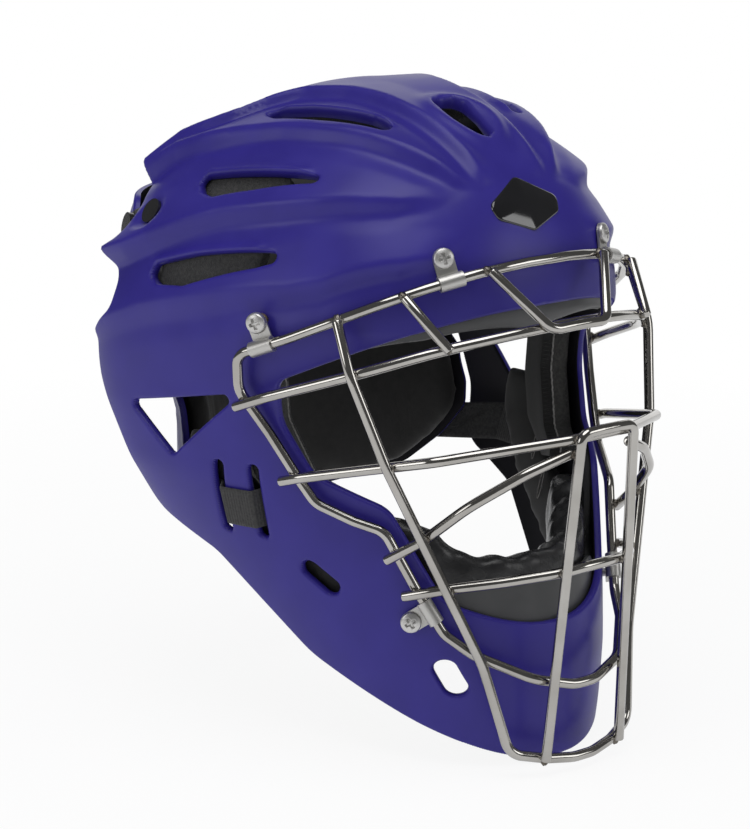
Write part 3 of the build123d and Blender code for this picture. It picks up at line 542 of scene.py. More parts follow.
class Fill:
    """Triangles over a region of a surface's near half, with rows that follow its edges."""

    def __init__(self, surface, pieces, holes=(), spacing=2.0, rows=(0.5, 1.2, 2.2)):
        loop, edged = [], []
        for kind, line in pieces:
            line = divide_flat(surface, line, spacing * 0.7)[:-1]
            loop.append(line)
            edged += [kind == "edge"] * len(line)
        outer = np.concatenate(loop)
        loops = [outer] + [divide_flat(surface, hole, spacing * 0.7, True) for hole in holes]
        edged = np.array(edged + [True] * sum(len(hole) for hole in loops[1:]))
        starts = np.concatenate(loops)
        ends = np.concatenate([np.roll(one, -1, axis=0) for one in loops])
        edge_starts, edge_ends = starts[edged], ends[edged]
        along = unit(edge_ends - edge_starts)
        across = np.stack([-along[:, 1], along[:, 0]], axis=-1)
        scale = surface.scale(edge_starts)[:, None]
        lines = [edge_starts + (edge_ends - edge_starts) / 2.0 + side * across * row / scale
                 for row in rows for side in (-1.0, 1.0)]
        wanted = np.repeat(rows, 2 * len(edge_starts))
        lines = np.concatenate(lines)
        away = far_from(lines, edge_starts, edge_ends) * surface.scale(lines)
        lines = lines[away > 0.9 * wanted]
        grid = surface.grid(outer, spacing)
        away = far_from(grid, edge_starts, edge_ends) * surface.scale(grid)
        grid = grid[away > rows[-1] + 0.6 * spacing]
        inner = np.concatenate([lines, grid])
        middle_gap = -inner[:, 0] * surface.scale(inner)
        inner = inner[(middle_gap > 0.4 * spacing) & within(inner, loops)]
        flat = np.concatenate([starts, inner])
        bounds, first = [], 0
        for one in loops:
            bounds += [(first + i, first + (i + 1) % len(one)) for i in range(len(one))]
            first += len(one)
        made = delaunay_2d_cdt([Vector(p) for p in flat], bounds, [], 0, 1e-7, True)
        flat = np.array([tuple(p) for p in made[0]])
        faces = np.array([face for face in made[2] if len(face) == 3])
        a, b, c = flat[faces[:, 0]], flat[faces[:, 1]], flat[faces[:, 2]]
        across, along = b - a, c - a
        area = across[:, 0] * along[:, 1] - across[:, 1] * along[:, 0]
        keep = within((a + b + c) / 3.0, loops) & (np.abs(area) > 1e-9)
        faces, area = faces[keep], area[keep]
        wrong = area * surface.turn < 0.0
        faces[wrong] = faces[wrong][:, ::-1]
        used, faces = np.unique(faces, return_inverse=True)
        self.faces, self.flat = faces.reshape(-1, 3), flat[used]
        self.middle = np.abs(self.flat[:, 0]) < 1e-4
        self.flat[self.middle, 0] = 0.0
        self.base = surface.point(*surface.unflat(self.flat))
        self.out = normals(surface, self.flat)
        self.base[self.middle, 0] = 0.0
        self.out[self.middle, 0] = 0.0
        self.out = unit(self.out)
        self.edge = far_from(self.flat, edge_starts, edge_ends) * surface.scale(self.flat)
        corners = [self.faces[:, pair] for pair in ((0, 1), (1, 2), (2, 0))]
        directed = np.concatenate(corners)
        known = {tuple(pair) for pair in directed.tolist()}
        self.rim = [(i, j) for i, j in known
                    if (j, i) not in known and not (self.middle[i] and self.middle[j])]

    def solid(self, outer, inner):
        """Points, faces and face kinds (0 outer, 1 rim, 2 inner) of a solid between two skins."""
        count = len(outer)
        faces = self.faces.tolist()
        kinds = [0] * len(faces)
        faces += [[c + count, b + count, a + count] for a, b, c in self.faces.tolist()]
        kinds += [2] * (len(faces) - len(kinds))
        faces += [[j, i, i + count, j + count] for i, j in self.rim]
        kinds += [1] * len(self.rim)
        return np.concatenate([outer, inner]), faces, kinds


def mirrored(points, faces, kinds, middle):
    """Adds the far half, joined on the middle plane."""
    count = len(points)
    index = np.arange(count) + count
    index[middle] = np.arange(count)[middle]
    other = points * (-1.0, 1.0, 1.0)
    faces = faces + [[int(index[i]) for i in face[::-1]] for face in faces]
    used, flat = np.unique(np.concatenate([np.array(face) for face in faces]),
                           return_inverse=True)
    sizes = np.cumsum([len(face) for face in faces])[:-1]
    faces = [part.tolist() for part in np.split(flat, sizes)]
    return np.concatenate([points, other])[used], faces, kinds + kinds


def paint(name, dark, light, rough, grain, metallic=0.0, coat=0.0, sheen=0.0, mottle=45.0,
          gloss=0.5):
    """A material: two mottled colours, a range of roughness and a fine bump."""
    material = bpy.data.materials.new(name)
    material.use_nodes = True
    nodes, links = material.node_tree.nodes, material.node_tree.links
    shader = nodes["Principled BSDF"]
    place = nodes.new("ShaderNodeTexCoord")
    broad = nodes.new("ShaderNodeTexNoise")
    broad.inputs["Scale"].default_value = mottle
    broad.inputs["Detail"].default_value = 5.0
    ramp = nodes.new("ShaderNodeValToRGB")
    ramp.color_ramp.elements[0].position, ramp.color_ramp.elements[1].position = 0.32, 0.68
    ramp.color_ramp.elements[0].color = (*dark, 1.0)
    ramp.color_ramp.elements[1].color = (*light, 1.0)
    spread = nodes.new("ShaderNodeMapRange")
    spread.inputs["To Min"].default_value, spread.inputs["To Max"].default_value = rough
    fine = nodes.new("ShaderNodeTexNoise")
    fine.inputs["Scale"].default_value = grain[0]
    fine.inputs["Detail"].default_value = 3.0
    bump = nodes.new("ShaderNodeBump")
    bump.inputs["Strength"].default_value = grain[1]
    bump.inputs["Distance"].default_value = grain[2]
    links.new(place.outputs["Object"], broad.inputs["Vector"])
    links.new(place.outputs["Object"], fine.inputs["Vector"])
    links.new(broad.outputs["Fac"], ramp.inputs["Fac"])
    links.new(ramp.outputs["Color"], shader.inputs["Base Color"])
    links.new(broad.outputs["Fac"], spread.inputs["Value"])
    links.new(spread.outputs["Result"], shader.inputs["Roughness"])
    links.new(fine.outputs["Fac"], bump.inputs["Height"])
    links.new(bump.outputs["Normal"], shader.inputs["Normal"])
    shader.inputs["Metallic"].default_value = metallic
    shader.inputs["Specular IOR Level"].default_value = gloss
    shader.inputs["Coat Weight"].default_value = coat
    shader.inputs["Coat Roughness"].default_value = 0.12
    shader.inputs["Sheen Weight"].default_value = sheen
    return material


def finish_of(name):
    """The named finish, made once."""
    if name in bpy.data.materials:
        return bpy.data.materials[name]
    return paint(name, *FINISHES[name])


FINISHES = {
    "shell_matte": ((0.024, 0.016, 0.215), (0.029, 0.020, 0.245), (0.34, 0.42),
                    (2600.0, 0.05, 0.0002), 0.0, 0.0, 0.0, 45.0, 0.36),
    "shell_inside": ((0.005, 0.005, 0.008), (0.009, 0.008, 0.013), (0.60, 0.72),
                     (900.0, 0.08, 0.0003), 0.0, 0.0, 0.0, 45.0, 0.25),
    "badge_gloss": ((0.004, 0.004, 0.005), (0.007, 0.007, 0.009), (0.06, 0.12),
                    (400.0, 0.01, 0.0002), 0.0, 1.0),
    "wire_nickel": ((0.40, 0.385, 0.36), (0.50, 0.485, 0.46), (0.07, 0.15),
                    (700.0, 0.03, 0.0002), 1.0),
    "weld_nickel": ((0.10, 0.085, 0.07), (0.28, 0.26, 0.23), (0.28, 0.45),
                    (1500.0, 0.35, 0.0004), 1.0),
    "clip_steel": ((0.50, 0.485, 0.46), (0.62, 0.60, 0.57), (0.10, 0.20),
                   (900.0, 0.06, 0.0002), 1.0),
    "screw_steel": ((0.55, 0.54, 0.52), (0.74, 0.72, 0.69), (0.10, 0.18),
                    (1200.0, 0.05, 0.0002), 1.0),
    "insert_brass": ((0.50, 0.36, 0.13), (0.62, 0.46, 0.18), (0.25, 0.40),
                     (900.0, 0.08, 0.0002), 1.0),
    "foam_grey": ((0.030, 0.030, 0.029), (0.062, 0.061, 0.058), (0.86, 0.98),
                  (1500.0, 0.9, 0.0007), 0.0, 0.0, 0.1, 650.0),
    "lining_black": ((0.009, 0.009, 0.009), (0.017, 0.016, 0.016), (0.70, 0.85),
                     (2600.0, 0.5, 0.0003), 0.0, 0.0, 0.12, 300.0),
    "vinyl_grey": ((0.050, 0.051, 0.053), (0.064, 0.065, 0.067), (0.34, 0.46),
                   (1800.0, 0.12, 0.0002), 0.0, 0.0, 0.0, 60.0),
    "leather_black": ((0.016, 0.016, 0.017), (0.030, 0.030, 0.031), (0.20, 0.34),
                      (1500.0, 0.30, 0.0004), 0.0, 0.0, 0.0, 120.0),
    "webbing_grey": ((0.020, 0.020, 0.021), (0.050, 0.049, 0.049), (0.78, 0.92),
                     (3200.0, 0.6, 0.0003), 0.0, 0.0, 0.15, 900.0),
    "rivet_black": ((0.008, 0.008, 0.009), (0.014, 0.014, 0.015), (0.18, 0.30),
                    (600.0, 0.05, 0.0002), 0.0, 0.4),
    "thread_grey": ((0.16, 0.155, 0.15), (0.34, 0.33, 0.32), (0.80, 0.95),
                    (3000.0, 0.4, 0.0003), 0.0, 0.0, 0.0, 900.0),
}


def make_object(name, points, faces, finishes, kinds=None, crease=38.0):
    """A smooth-shaded mesh object from millimetre points."""
    mesh = bpy.data.meshes.new(name)
    mesh.from_pydata((np.asarray(points) * METRES).tolist(), [], faces)
    mesh.update()
    for finish in finishes:
        mesh.materials.append(finish_of(finish))
    mesh.polygons.foreach_set("use_smooth", [True] * len(mesh.polygons))
    if kinds is not None:
        mesh.polygons.foreach_set("material_index", [min(k, len(finishes) - 1) for k in kinds])
    mesh.set_sharp_from_angle(angle=math.radians(crease))
    made = bpy.data.objects.new(name, mesh)
    bpy.context.scene.collection.objects.link(made)
    return made


def seat(made, body, slot, *nodes):
    """Hangs a piece on its body and hides the CAD nodes it stands for; the slot is not used."""
    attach(made, body)
    if nodes:
        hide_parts(*nodes)
    return made


def both(name):
    return name + "_right", name + "_left"


def middle_line(first, last):
    line = np.zeros((80, 2))
    line[:, 1] = np.linspace(first[1], last[1], 80)
    return line


def bands(y, turn, rise, power, stations):
    """Height of one terrace: a swept crest, the wall below it and the dip at the wall's foot."""
    rows = np.array(sorted(stations))
    crest, high, wall, dip = [np.interp(y, rows[:, 0], column) for column in rows.T[1:]]
    away = turn - crest
    total = np.zeros(len(y))
    for shift in (-0.45, -0.3, -0.15, 0.0, 0.15, 0.3, 0.45):
        spot = away + shift
        up = high * np.clip(1.0 + spot / rise, 0.0, 1.0) ** power
        down = high - (high + dip) * ease(spot / wall)
        back = -dip * (1.0 - ease((spot - wall) / 5.0))
        total += np.where(spot < 0.0, up, np.where(spot < wall, down, back)) / 7.0
    return total


def vent_hoods(y, turn):
    """The raised upper lips of the side vents."""
    spot = np.stack([turn * DEGREE_LENGTH, y], axis=-1)
    lift = np.zeros(len(y))
    for vent in VENTS:
        loop = np.array([(angle * DEGREE_LENGTH, place) for angle, place in vent])
        away = far_from(spot, loop, np.roll(loop, -1, axis=0))
        middle = np.array([(loop[:, 0].max() + loop[:, 0].min()) / 2.0, loop[:, 1].mean()])
        tilt = np.polyfit(loop[:, 1], loop[:, 0], 1)
        above = ease(0.5 - (spot[:, 0] - np.polyval(tilt, spot[:, 1])) / HOOD_BLEND)
        reach = np.ptp(loop[:, 1]) / 2.0
        near = ease((reach - np.abs(spot[:, 1] - middle[1])) / HOOD_FADE)
        lift += near * above * HOOD * np.exp(
            -((away - HOOD_PLACE) / HOOD_SPREAD) ** 2)
    return lift


def badge_frame():
    """Origin and axes of the badge's plane."""
    tilt = math.radians(BADGE_TILT)
    out = np.array([0.0, -math.cos(tilt), math.sin(tilt)])
    right = np.array([1.0, 0.0, 0.0])
    return SKIN.point(0.0, BADGE_LEVEL), right, np.cross(out, right), out


def badge_loop(grow=0.0):
    corners = [(x * BADGE_WIDTH / 2.0, y * BADGE_HEIGHT / 2.0) for x, y in BADGE_SHARES]
    line = divide(rounded(corners, [4.0] * 6, closed=True), 0.8, closed=True)
    away = unit(np.roll(line, -1, axis=0) - np.roll(line, 1, axis=0))
    return line + grow * np.stack([-away[:, 1], away[:, 0]], axis=-1)


def shell_outside(fill, edge_radius):
    """The shell's outer face: terraces, raised vent rims, badge recess and rolled edges."""
    base, out = fill.base, fill.out
    turn = np.degrees(np.arctan2(np.abs(base[:, 0]), base[:, 2] - WIDEST))
    lift = np.zeros(len(base))
    for rise, power, stations in TERRACES.values():
        lift += bands(base[:, 1], turn, rise, power, stations)
    lift = np.clip(lift, -1.8, None) + vent_hoods(base[:, 1], turn)
    away = np.linalg.norm(np.abs(base) * (1, 0, 0) + base * (0, 1, 1) - RIVET_SPOT, axis=1)
    lift *= ease((away - SEAT_REACH) / SEAT_FADE)
    over = np.stack([base[:, 0] / RIM_WIDTH, (base[:, 1] - RIM_MIDDLE) / RIM_LENGTH], axis=-1)
    ring = np.linalg.norm(over, axis=1)
    lift += (base[:, 2] > 110.0) * RIM_HEIGHT * np.exp(-((ring - RIM_PLACE) / RIM_SPREAD) ** 2)
    points = base + out * lift[:, None]
    origin, right, up, facing = badge_frame()
    local = points - origin
    flat = np.stack([local @ right, local @ up], axis=-1)
    line = badge_loop(RECESS_MARGIN)
    away = far_from(flat, line, np.roll(line, -1, axis=0))
    inner = np.where(within(flat, [line]), away, -away)
    brow = (points[:, 1] < -60.0) & (points[:, 2] > 80.0)
    rim = RECESS_RIM * np.exp(-((inner + 1.4) / 1.3) ** 2) * brow
    points = points + out * (rim - RECESS_WALL * brow * ease((inner + 0.3) / 1.7))[:, None]
    local = points - origin
    sink = np.minimum(-RECESS_FLOOR - local @ facing, 0.0) * brow * ease(inner / 2.0)
    points = points + facing * sink[:, None]
    roll = np.clip(edge_radius - fill.edge, 0.0, edge_radius)
    drop = edge_radius - np.sqrt(np.maximum(edge_radius ** 2 - roll ** 2, 0.0))
    return points - out * drop[:, None]


def build_shell(spacing, edge_radius):
    corners = rounded([side_place(row) for row in OUTLINE_SHARES],
                      [row[2] * BEND for row in OUTLINE_SHARES], closed=True)
    lower, face = runs_on(SKIN, corners)[:2]
    vent = plan_line(TOP_VENT, [0.0, 2.0, 6.0, 4.0, 2.0, 0.0])
    pieces = [("edge", lower), ("mid", middle_line(lower[-1], face[0])), ("edge", face),
              ("mid", middle_line(face[-1], vent[0])), ("edge", vent),
              ("mid", middle_line(vent[-1], lower[0]))]
    holes = [spoke_loop(vent_loop, 3.2) for vent_loop in VENTS]
    holes.append(side_loop(SKIN, EAR_HOLE, 2.6))
    for top, bottom, width in SLOTS:
        first, last = np.array(side_place(top)), np.array(side_place(bottom))
        along = unit(last - first) * width / 2.0
        across = np.array([-along[1], along[0]])
        line = rounded([first + across, last + across, last - across, first - across],
                       [width * 0.49] * 4, closed=True)
        line = divide(line, 0.7, closed=True)
        holes.append(SKIN.flat(SKIN.angle_at(line[:, 0], line[:, 1]), line[:, 1]))
    holes.append(hole_at(SKIN, math.radians(97.6), 93.8, 2.4))
    for run in CLIP_RUNS.values():
        spot = clip_frame(run)[0]
        angle = float(SKIN.angle_at(spot[1], spot[2]))
        holes.append(hole_at(SKIN, angle, spot[2], 2.3))
    fill = Fill(SKIN, pieces, holes, spacing, (0.35, 0.8, 1.4, 2.2))
    outer = shell_outside(fill, edge_radius)
    round_in = np.clip(0.9 - fill.edge, 0.0, 0.9)
    inner = fill.base - fill.out * (WALL - 0.9 + np.sqrt(0.81 - round_in ** 2))[:, None]
    outer[fill.middle, 0] = inner[fill.middle, 0] = 0.0
    points, faces, kinds = fill.solid(outer, inner)
    points, faces, kinds = mirrored(points, faces, kinds, np.tile(fill.middle, 2))
    shell = make_object("shell", points, faces, ["shell_matte", "shell_matte", "shell_inside"],
                        kinds, 50.0)
    return seat(shell, "helmet", "shell_plastic", "helmet_shell")


def clip_frame(run):
    """Point under a clip's screw on the shell, and the axes along and out of the wire."""
    first, second = PERIMETER[run], PERIMETER[run + 1]
    start, end = perimeter_spot(*first[:3]), perimeter_spot(*second[:3])
    along = unit(end - start)
    angle = math.radians((first[0] + second[0]) / 2.0)
    height = (first[1] + second[1]) / 2.0 * DROP
    out = normals(SKIN, SKIN.flat(np.array(angle), np.array(height)))
    out = unit(out - along * (out @ along))
    up = np.cross(out, -along)
    over = (start + end) / 2.0 + up * CLIP_REACH
    near, far = 0.0, 30.0
    for _ in range(30):
        middle = (near + far) / 2.0
        spot = over - out * middle
        if abs(spot[0]) < float(SKIN.half_width(spot[1], spot[2])):
            far = middle
        else:
            near = middle
    return over - out * near, along, out


def perimeter_spot(angle, height_share, off_share):
    angle, height = math.radians(angle), height_share * DROP
    flat = SKIN.flat(np.array(angle), np.array(height))
    out = normals(SKIN, flat) * (1.0, 1.0, 0.0)
    return SKIN.point(angle, height) + unit(out) * off_share * STAND_OFF


def tube(path, radius, sides=20, closed=False, cap=0.9):
    """Points and faces of a round wire along a path, its ends eased."""
    path = np.asarray(path, float)
    ahead = np.roll(path, -1, axis=0) - path
    if closed:
        tangent = unit(ahead + np.roll(ahead, 1, axis=0))
    else:
        tangent = unit(np.gradient(path, axis=0))
    side = unit(np.cross(tangent[0], (0.3, 0.5, 0.81)))
    sides_at = []
    for direction in tangent:
        side = unit(side - direction * (side @ direction))
        sides_at.append(side)
    side = np.array(sides_at)
    if closed:
        lag = np.cross(tangent[0], side[0])
        turned = side[-1] - tangent[0] * (side[-1] @ tangent[0])
        twist = math.atan2(float(turned @ lag), float(turned @ side[0]))
    else:
        twist = 0.0
    other = np.cross(tangent, side)
    if not closed:
        rings = [(path[0], tangent[0], side[0], other[0], radius - cap),
                 (path[0] + tangent[0] * 0.3 * cap, tangent[0], side[0], other[0],
                  radius - 0.3 * cap)]
        rings += [(path[0] + tangent[0] * cap, tangent[0], side[0], other[0], radius)]
        rings += [(path[i], tangent[i], side[i], other[i], radius)
                  for i in range(1, len(path) - 1)
                  if np.linalg.norm(path[i] - path[0]) > cap * 1.5
                  and np.linalg.norm(path[i] - path[-1]) > cap * 1.5]
        rings += [(path[-1] - tangent[-1] * cap, tangent[-1], side[-1], other[-1], radius),
                  (path[-1] - tangent[-1] * 0.3 * cap, tangent[-1], side[-1], other[-1],
                   radius - 0.3 * cap),
                  (path[-1], tangent[-1], side[-1], other[-1], radius - cap)]
    else:
        rings = [(path[i], tangent[i], side[i], other[i], radius) for i in range(len(path))]
    turn = np.arange(sides) * math.tau / sides
    points = []
    for i, (spot, _, first, second, reach) in enumerate(rings):
        bend = turn - twist * i / max(1, len(rings))
        points.append(spot + reach * (np.cos(bend)[:, None] * first
                                      + np.sin(bend)[:, None] * second))
    count = len(rings)
    faces = []
    for i in range(count if closed else count - 1):
        a, b = i * sides, (i + 1) % count * sides
        faces += [[a + k, a + (k + 1) % sides, b + (k + 1) % sides, b + k]
                  for k in range(sides)]
    if not closed:
        faces.append(list(range(sides))[::-1])
        faces.append(list(range((count - 1) * sides, count * sides)))
    return np.concatenate(points), faces


def bar_path(rows, whole=True):
    corners = [(x * HALF_WIDTH, y * REACH, z * DROP) for x, y, z, _ in rows]
    radii = [row[3] * BEND for row in rows]
    if whole:
        corners += [(-x, y, z) for x, y, z in corners[-2::-1]]
        radii += radii[-2::-1]
    return rounded(corners, radii)


def perimeter_path():
    corners = [perimeter_spot(*row[:3]) for row in PERIMETER]
    radii = [row[3] * BEND for row in PERIMETER]
    corners += [corner * (-1.0, 1.0, 1.0) for corner in corners[-2:0:-1]]
    return rounded(corners, radii + radii[-2:0:-1], closed=True)


def weld(spot, along, radius):
    """A small flowed bead where two wires touch."""
    first = unit(np.cross(along, (0.31, 0.77, 0.55)))
    second = np.cross(along, first)
    points, faces = [], []
    for i in range(1, 8):
        lat = math.pi * i / 8
        for k in range(12):
            lon = math.tau * k / 12
            ripple = 1.0 + 0.07 * math.sin(3.0 * lon + 2.0 * lat)
            points.append(spot + radius * ripple * (
                1.35 * math.cos(lat) * along
                + math.sin(lat) * (math.cos(lon) * first + math.sin(lon) * second)))
    for i in range(6):
        faces += [[i * 12 + k, i * 12 + (k + 1) % 12, (i + 1) * 12 + (k + 1) % 12,
                   (i + 1) * 12 + k] for k in range(12)]
    faces += [list(range(12))[::-1], list(range(72, 84))]
    return np.array(points), faces


def build_cage(sides, bead):
    paths = {"cage_perimeter": perimeter_path()}
    paths.update({name: bar_path(rows) for name, rows in BARS.items()})
    for name, rows in SIDE_BARS.items():
        path = bar_path(rows, False)
        paths[name + "_right"], paths[name + "_left"] = path, path * (-1.0, 1.0, 1.0)
    for name, path in paths.items():
        closed = name == "cage_perimeter"
        points, faces = tube(path, WIRE_RADIUS, sides, closed, 0.0 if closed else 0.7)
        wire = make_object("wire_" + name, points, faces, ["wire_nickel"])
        seat(wire, "helmet", "wire_steel", name)
    fine = {}
    for name, path in paths.items():
        closed = name == "cage_perimeter"
        fine[name] = divide(path, 1.0, closed)
    names = sorted(fine)
    points, faces = [], []
    for i, name in enumerate(names):
        for other in names[i + 1:]:
            gap = np.linalg.norm(fine[name][:, None] - fine[other][None], axis=2)
            nearest, taken = gap.min(1), np.zeros(len(fine[name]), bool)
            while True:
                near = np.where(taken, 99.0, nearest)
                k = int(near.argmin())
                if near[k] > 5.3:
                    break
                taken[max(0, k - 16):k + 17] = True
                j = int(gap[k].argmin())
                spot = (fine[name][k] + fine[other][j]) / 2.0
                a = min(max(k, 1), len(fine[name]) - 2)
                along = unit(fine[name][a + 1] - fine[name][a - 1])
                bead_points, bead_faces = weld(spot, along, bead)
                faces += [[index + len(points) * 84 for index in face] for face in bead_faces]
                points.append(bead_points)
    welds = make_object("cage_welds", np.concatenate(points), faces, ["weld_nickel"], None, 70.0)
    seat(welds, "helmet", "wire_steel")


def build_badge():
    origin, right, up, facing = badge_frame()
    line = badge_loop()
    count = len(line)
    rings = [(1.0, -2.05), (1.0, -0.7), (0.975, -0.25)]
    rings += [(share, -0.25 + 1.45 * (1.0 - share ** 2)) for share in np.linspace(0.93, 0.05, 14)]
    points = [origin + right * x * grow + up * y * grow + facing * rise
              for grow, rise in rings for x, y in line]
    faces = [[i * count + k, i * count + (k + 1) % count, (i + 1) * count + (k + 1) % count,
              (i + 1) * count + k] for i in range(len(rings) - 1) for k in range(count)]
    faces += [list(range(count))[::-1],
              list(range((len(rings) - 1) * count, len(rings) * count))]
    if signed_area(line) < 0.0:
        faces = [face[::-1] for face in faces]
    badge = make_object("badge", points, faces, ["badge_gloss"], None, 60.0)
    seat(badge, "helmet", "badge_plastic", "brow_badge")


def signed_area(line):
    ahead = np.roll(line, -1, axis=0)
    return float((line[:, 0] * ahead[:, 1] - line[:, 1] * ahead[:, 0]).sum())


def build_screw(name, spot, along, out):
    """A domed pan head with a cross recess, on its shank."""
    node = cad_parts[name]
    corners = np.array([tuple(v.co) for v in node.data.vertices]) / METRES - spot
    deep, top = (corners @ out).min(), (corners @ out).max()
    side = np.cross(out, along)
    turn = np.arange(72) * math.tau / 72
    reaches = np.concatenate([np.linspace(0.15, 4.05, 27), [4.3, 4.5, 4.65, 4.75, 4.8, 4.8]])
    levels = np.concatenate([top - 0.9 * (reaches[:27] / 4.05) ** 2,
                             top - np.array([1.05, 1.25, 1.5, 1.8, 2.2, 2.6])])
    reach, bend = np.meshgrid(reaches, turn, indexing="ij")
    u, v = reach * np.cos(bend + 0.6), reach * np.sin(bend + 0.6)
    arm = np.minimum(np.maximum(abs(u) - 0.62, abs(v) - 2.5),
                     np.maximum(abs(v) - 0.62, abs(u) - 2.5))
    level = levels[:, None] - 1.3 * ease((0.25 - arm) / 0.5)
    level[levels < top - 1.0] = levels[levels < top - 1.0][:, None]
    rings = [spot + (along * u[i][:, None] + side * v[i][:, None] + out * level[i][:, None])
             for i in range(len(reaches))]
    for radius, height in ((2.0, top - 2.6), (2.0, deep + 0.3), (1.7, deep)):
        rings.append(spot + radius * (along * np.cos(turn + 0.6)[:, None]
                                      + side * np.sin(turn + 0.6)[:, None]) + out * height)
    count = len(turn)
    faces = [[i * count + k, (i + 1) * count + k, (i + 1) * count + (k + 1) % count,
              i * count + (k + 1) % count] for i in range(len(rings) - 1) for k in range(count)]
    faces += [list(range(count)), list(range((len(rings) - 1) * count, len(rings) * count))[::-1]]
    made = make_object(name.replace("screw", "pan_screw"), np.concatenate(rings), faces,
                       ["screw_steel"], None, 50.0)
    seat(made, "helmet", "screw_steel", name)


def build_fasteners():
    """Cross-headed screws; clips, inserts, rivets and anchors keep their CAD solids."""
    for place, run in CLIP_RUNS.items():
        spot, along, out = clip_frame(run)
        turned = np.array([-1.0, 1.0, 1.0])
        build_screw(place + "_screw_right", spot, along, out)
        build_screw(place + "_screw_left", spot * turned, along * turned, out * turned)
    kinds = {"clip": "clip_steel", "insert": "insert_brass"}
    names = [(place + "_" + kind + side, finish, 0.22 if kind != "insert" else 0.1)
             for place in CLIP_RUNS for kind, finish in kinds.items()
             for side in ("_right", "_left")]
    for kind in ("strap_rivet", "upper_strap_anchor", "lower_strap_anchor"):
        names += [(name, "rivet_black", 0.6) for name in both(kind)]
    for name, finish, width in names:
        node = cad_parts[name]
        node.data.materials.clear()
        node.data.materials.append(finish_of(finish))
        bevel = node.modifiers.new("edges", "BEVEL")
        bevel.width, bevel.segments, bevel.limit_method = width * METRES, 3, "ANGLE"
        bevel.angle_limit = math.radians(40.0)
        smooth = node.modifiers.new("normals", "WEIGHTED_NORMAL")
        smooth.keep_sharp = True
        node.data.polygons.foreach_set("use_smooth", [True] * len(node.data.polygons))


def inflate(made, voxel, cap, pinned=None, pressure=4.0):
    """Remeshes a closed piece, swells it as cloth under pressure, caps the moves and smooths."""
    depsgraph = bpy.context.evaluated_depsgraph_get()
    remesh = made.modifiers.new("remesh", "REMESH")
    remesh.mode, remesh.voxel_size = "VOXEL", voxel * METRES
    depsgraph.update()
    even = bpy.data.meshes.new_from_object(made.evaluated_get(depsgraph))
    made.modifiers.clear()
    made.data = even
    start = np.array([tuple(v.co) for v in even.vertices])
    if pinned is not None:
        tree = KDTree(len(pinned))
        for i, spot in enumerate(pinned * METRES):
            tree.insert(Vector(spot), i)
        tree.balance()
        held = [i for i, spot in enumerate(start)
                if tree.find(Vector(spot))[2] < 0.9 * voxel * METRES]
        group = made.vertex_groups.new(name="held")
        group.add(held, 1.0, "REPLACE")
    cloth = made.modifiers.new("cloth", "CLOTH")
    cloth.settings.use_pressure = True
    cloth.settings.uniform_pressure_force = pressure
    cloth.settings.effector_weights.gravity = 0.0
    cloth.settings.quality = 6
    cloth.settings.tension_stiffness = cloth.settings.compression_stiffness = 12.0
    cloth.settings.bending_stiffness = 0.25
    if pinned is not None:
        cloth.settings.vertex_group_mass = "held"
    cloth.point_cache.frame_start, cloth.point_cache.frame_end = 1, 20
    scene = bpy.context.scene
    for step in range(1, 21):
        scene.frame_set(step)
    depsgraph.update()
    swollen = bpy.data.meshes.new_from_object(made.evaluated_get(depsgraph))
    moved = np.array([tuple(v.co) for v in swollen.vertices]) - start
    reach = np.linalg.norm(moved, axis=1, keepdims=True)
    moved *= np.minimum(1.0, cap * METRES / np.maximum(reach, 1e-9))
    made.modifiers.clear()
    scene.frame_set(1)
    even.vertices.foreach_set("co", (start + moved).ravel())
    even.update()
    smooth = made.modifiers.new("smooth", "SUBSURF")
    smooth.levels = smooth.render_levels = 1
    depsgraph.update()
    made.data = bpy.data.meshes.new_from_object(made.evaluated_get(depsgraph))
    made.modifiers.clear()
    made.vertex_groups.clear()
    made.data.polygons.foreach_set("use_smooth", [True] * len(made.data.polygons))
    return made


def pad_solid(name, fill, inset, thickness, crown, round_reach, finishes, whole=False, dents=None):
    """A pad inside the shell: flat towards the shell, crowned towards the head."""
    rounding = np.clip(1.0 - fill.edge / round_reach, 0.0, 1.0)
    drawn = np.sqrt(np.maximum(1.0 - rounding ** 2, 0.0))
    swell = crown * ease(fill.edge / (3.0 * round_reach))
    near = inset + 0.12 * thickness * (1.0 - drawn)
    far = inset + thickness * (0.62 + 0.38 * drawn) + swell
    if dents is not None:
        far = far - dents(fill)
    outer = fill.base - fill.out * near[:, None]
    inner = fill.base - fill.out * far[:, None]
    outer[fill.middle, 0] = inner[fill.middle, 0] = 0.0
    points, faces, kinds = fill.solid(outer, inner)
    if whole:
        points, faces, kinds = mirrored(points, faces, kinds, np.tile(fill.middle, 2))
        return [make_object(name, points, faces, finishes, kinds)]
    right = make_object(name + "_right", points, faces, finishes, kinds)
    left = make_object(name + "_left", points * (-1.0, 1.0, 1.0),
                       [face[::-1] for face in faces], finishes, kinds)
    return [right, left]


def half_pieces(surface, loop, radius):
    """Pieces of a region that crosses the middle plane, from its side-view loop."""
    corners = rounded([side_place(share) for share in loop], [radius] * len(loop), closed=True)
    run = runs_on(surface, corners)[0]
    return [("edge", run), ("mid", middle_line(run[-1], run[0]))]


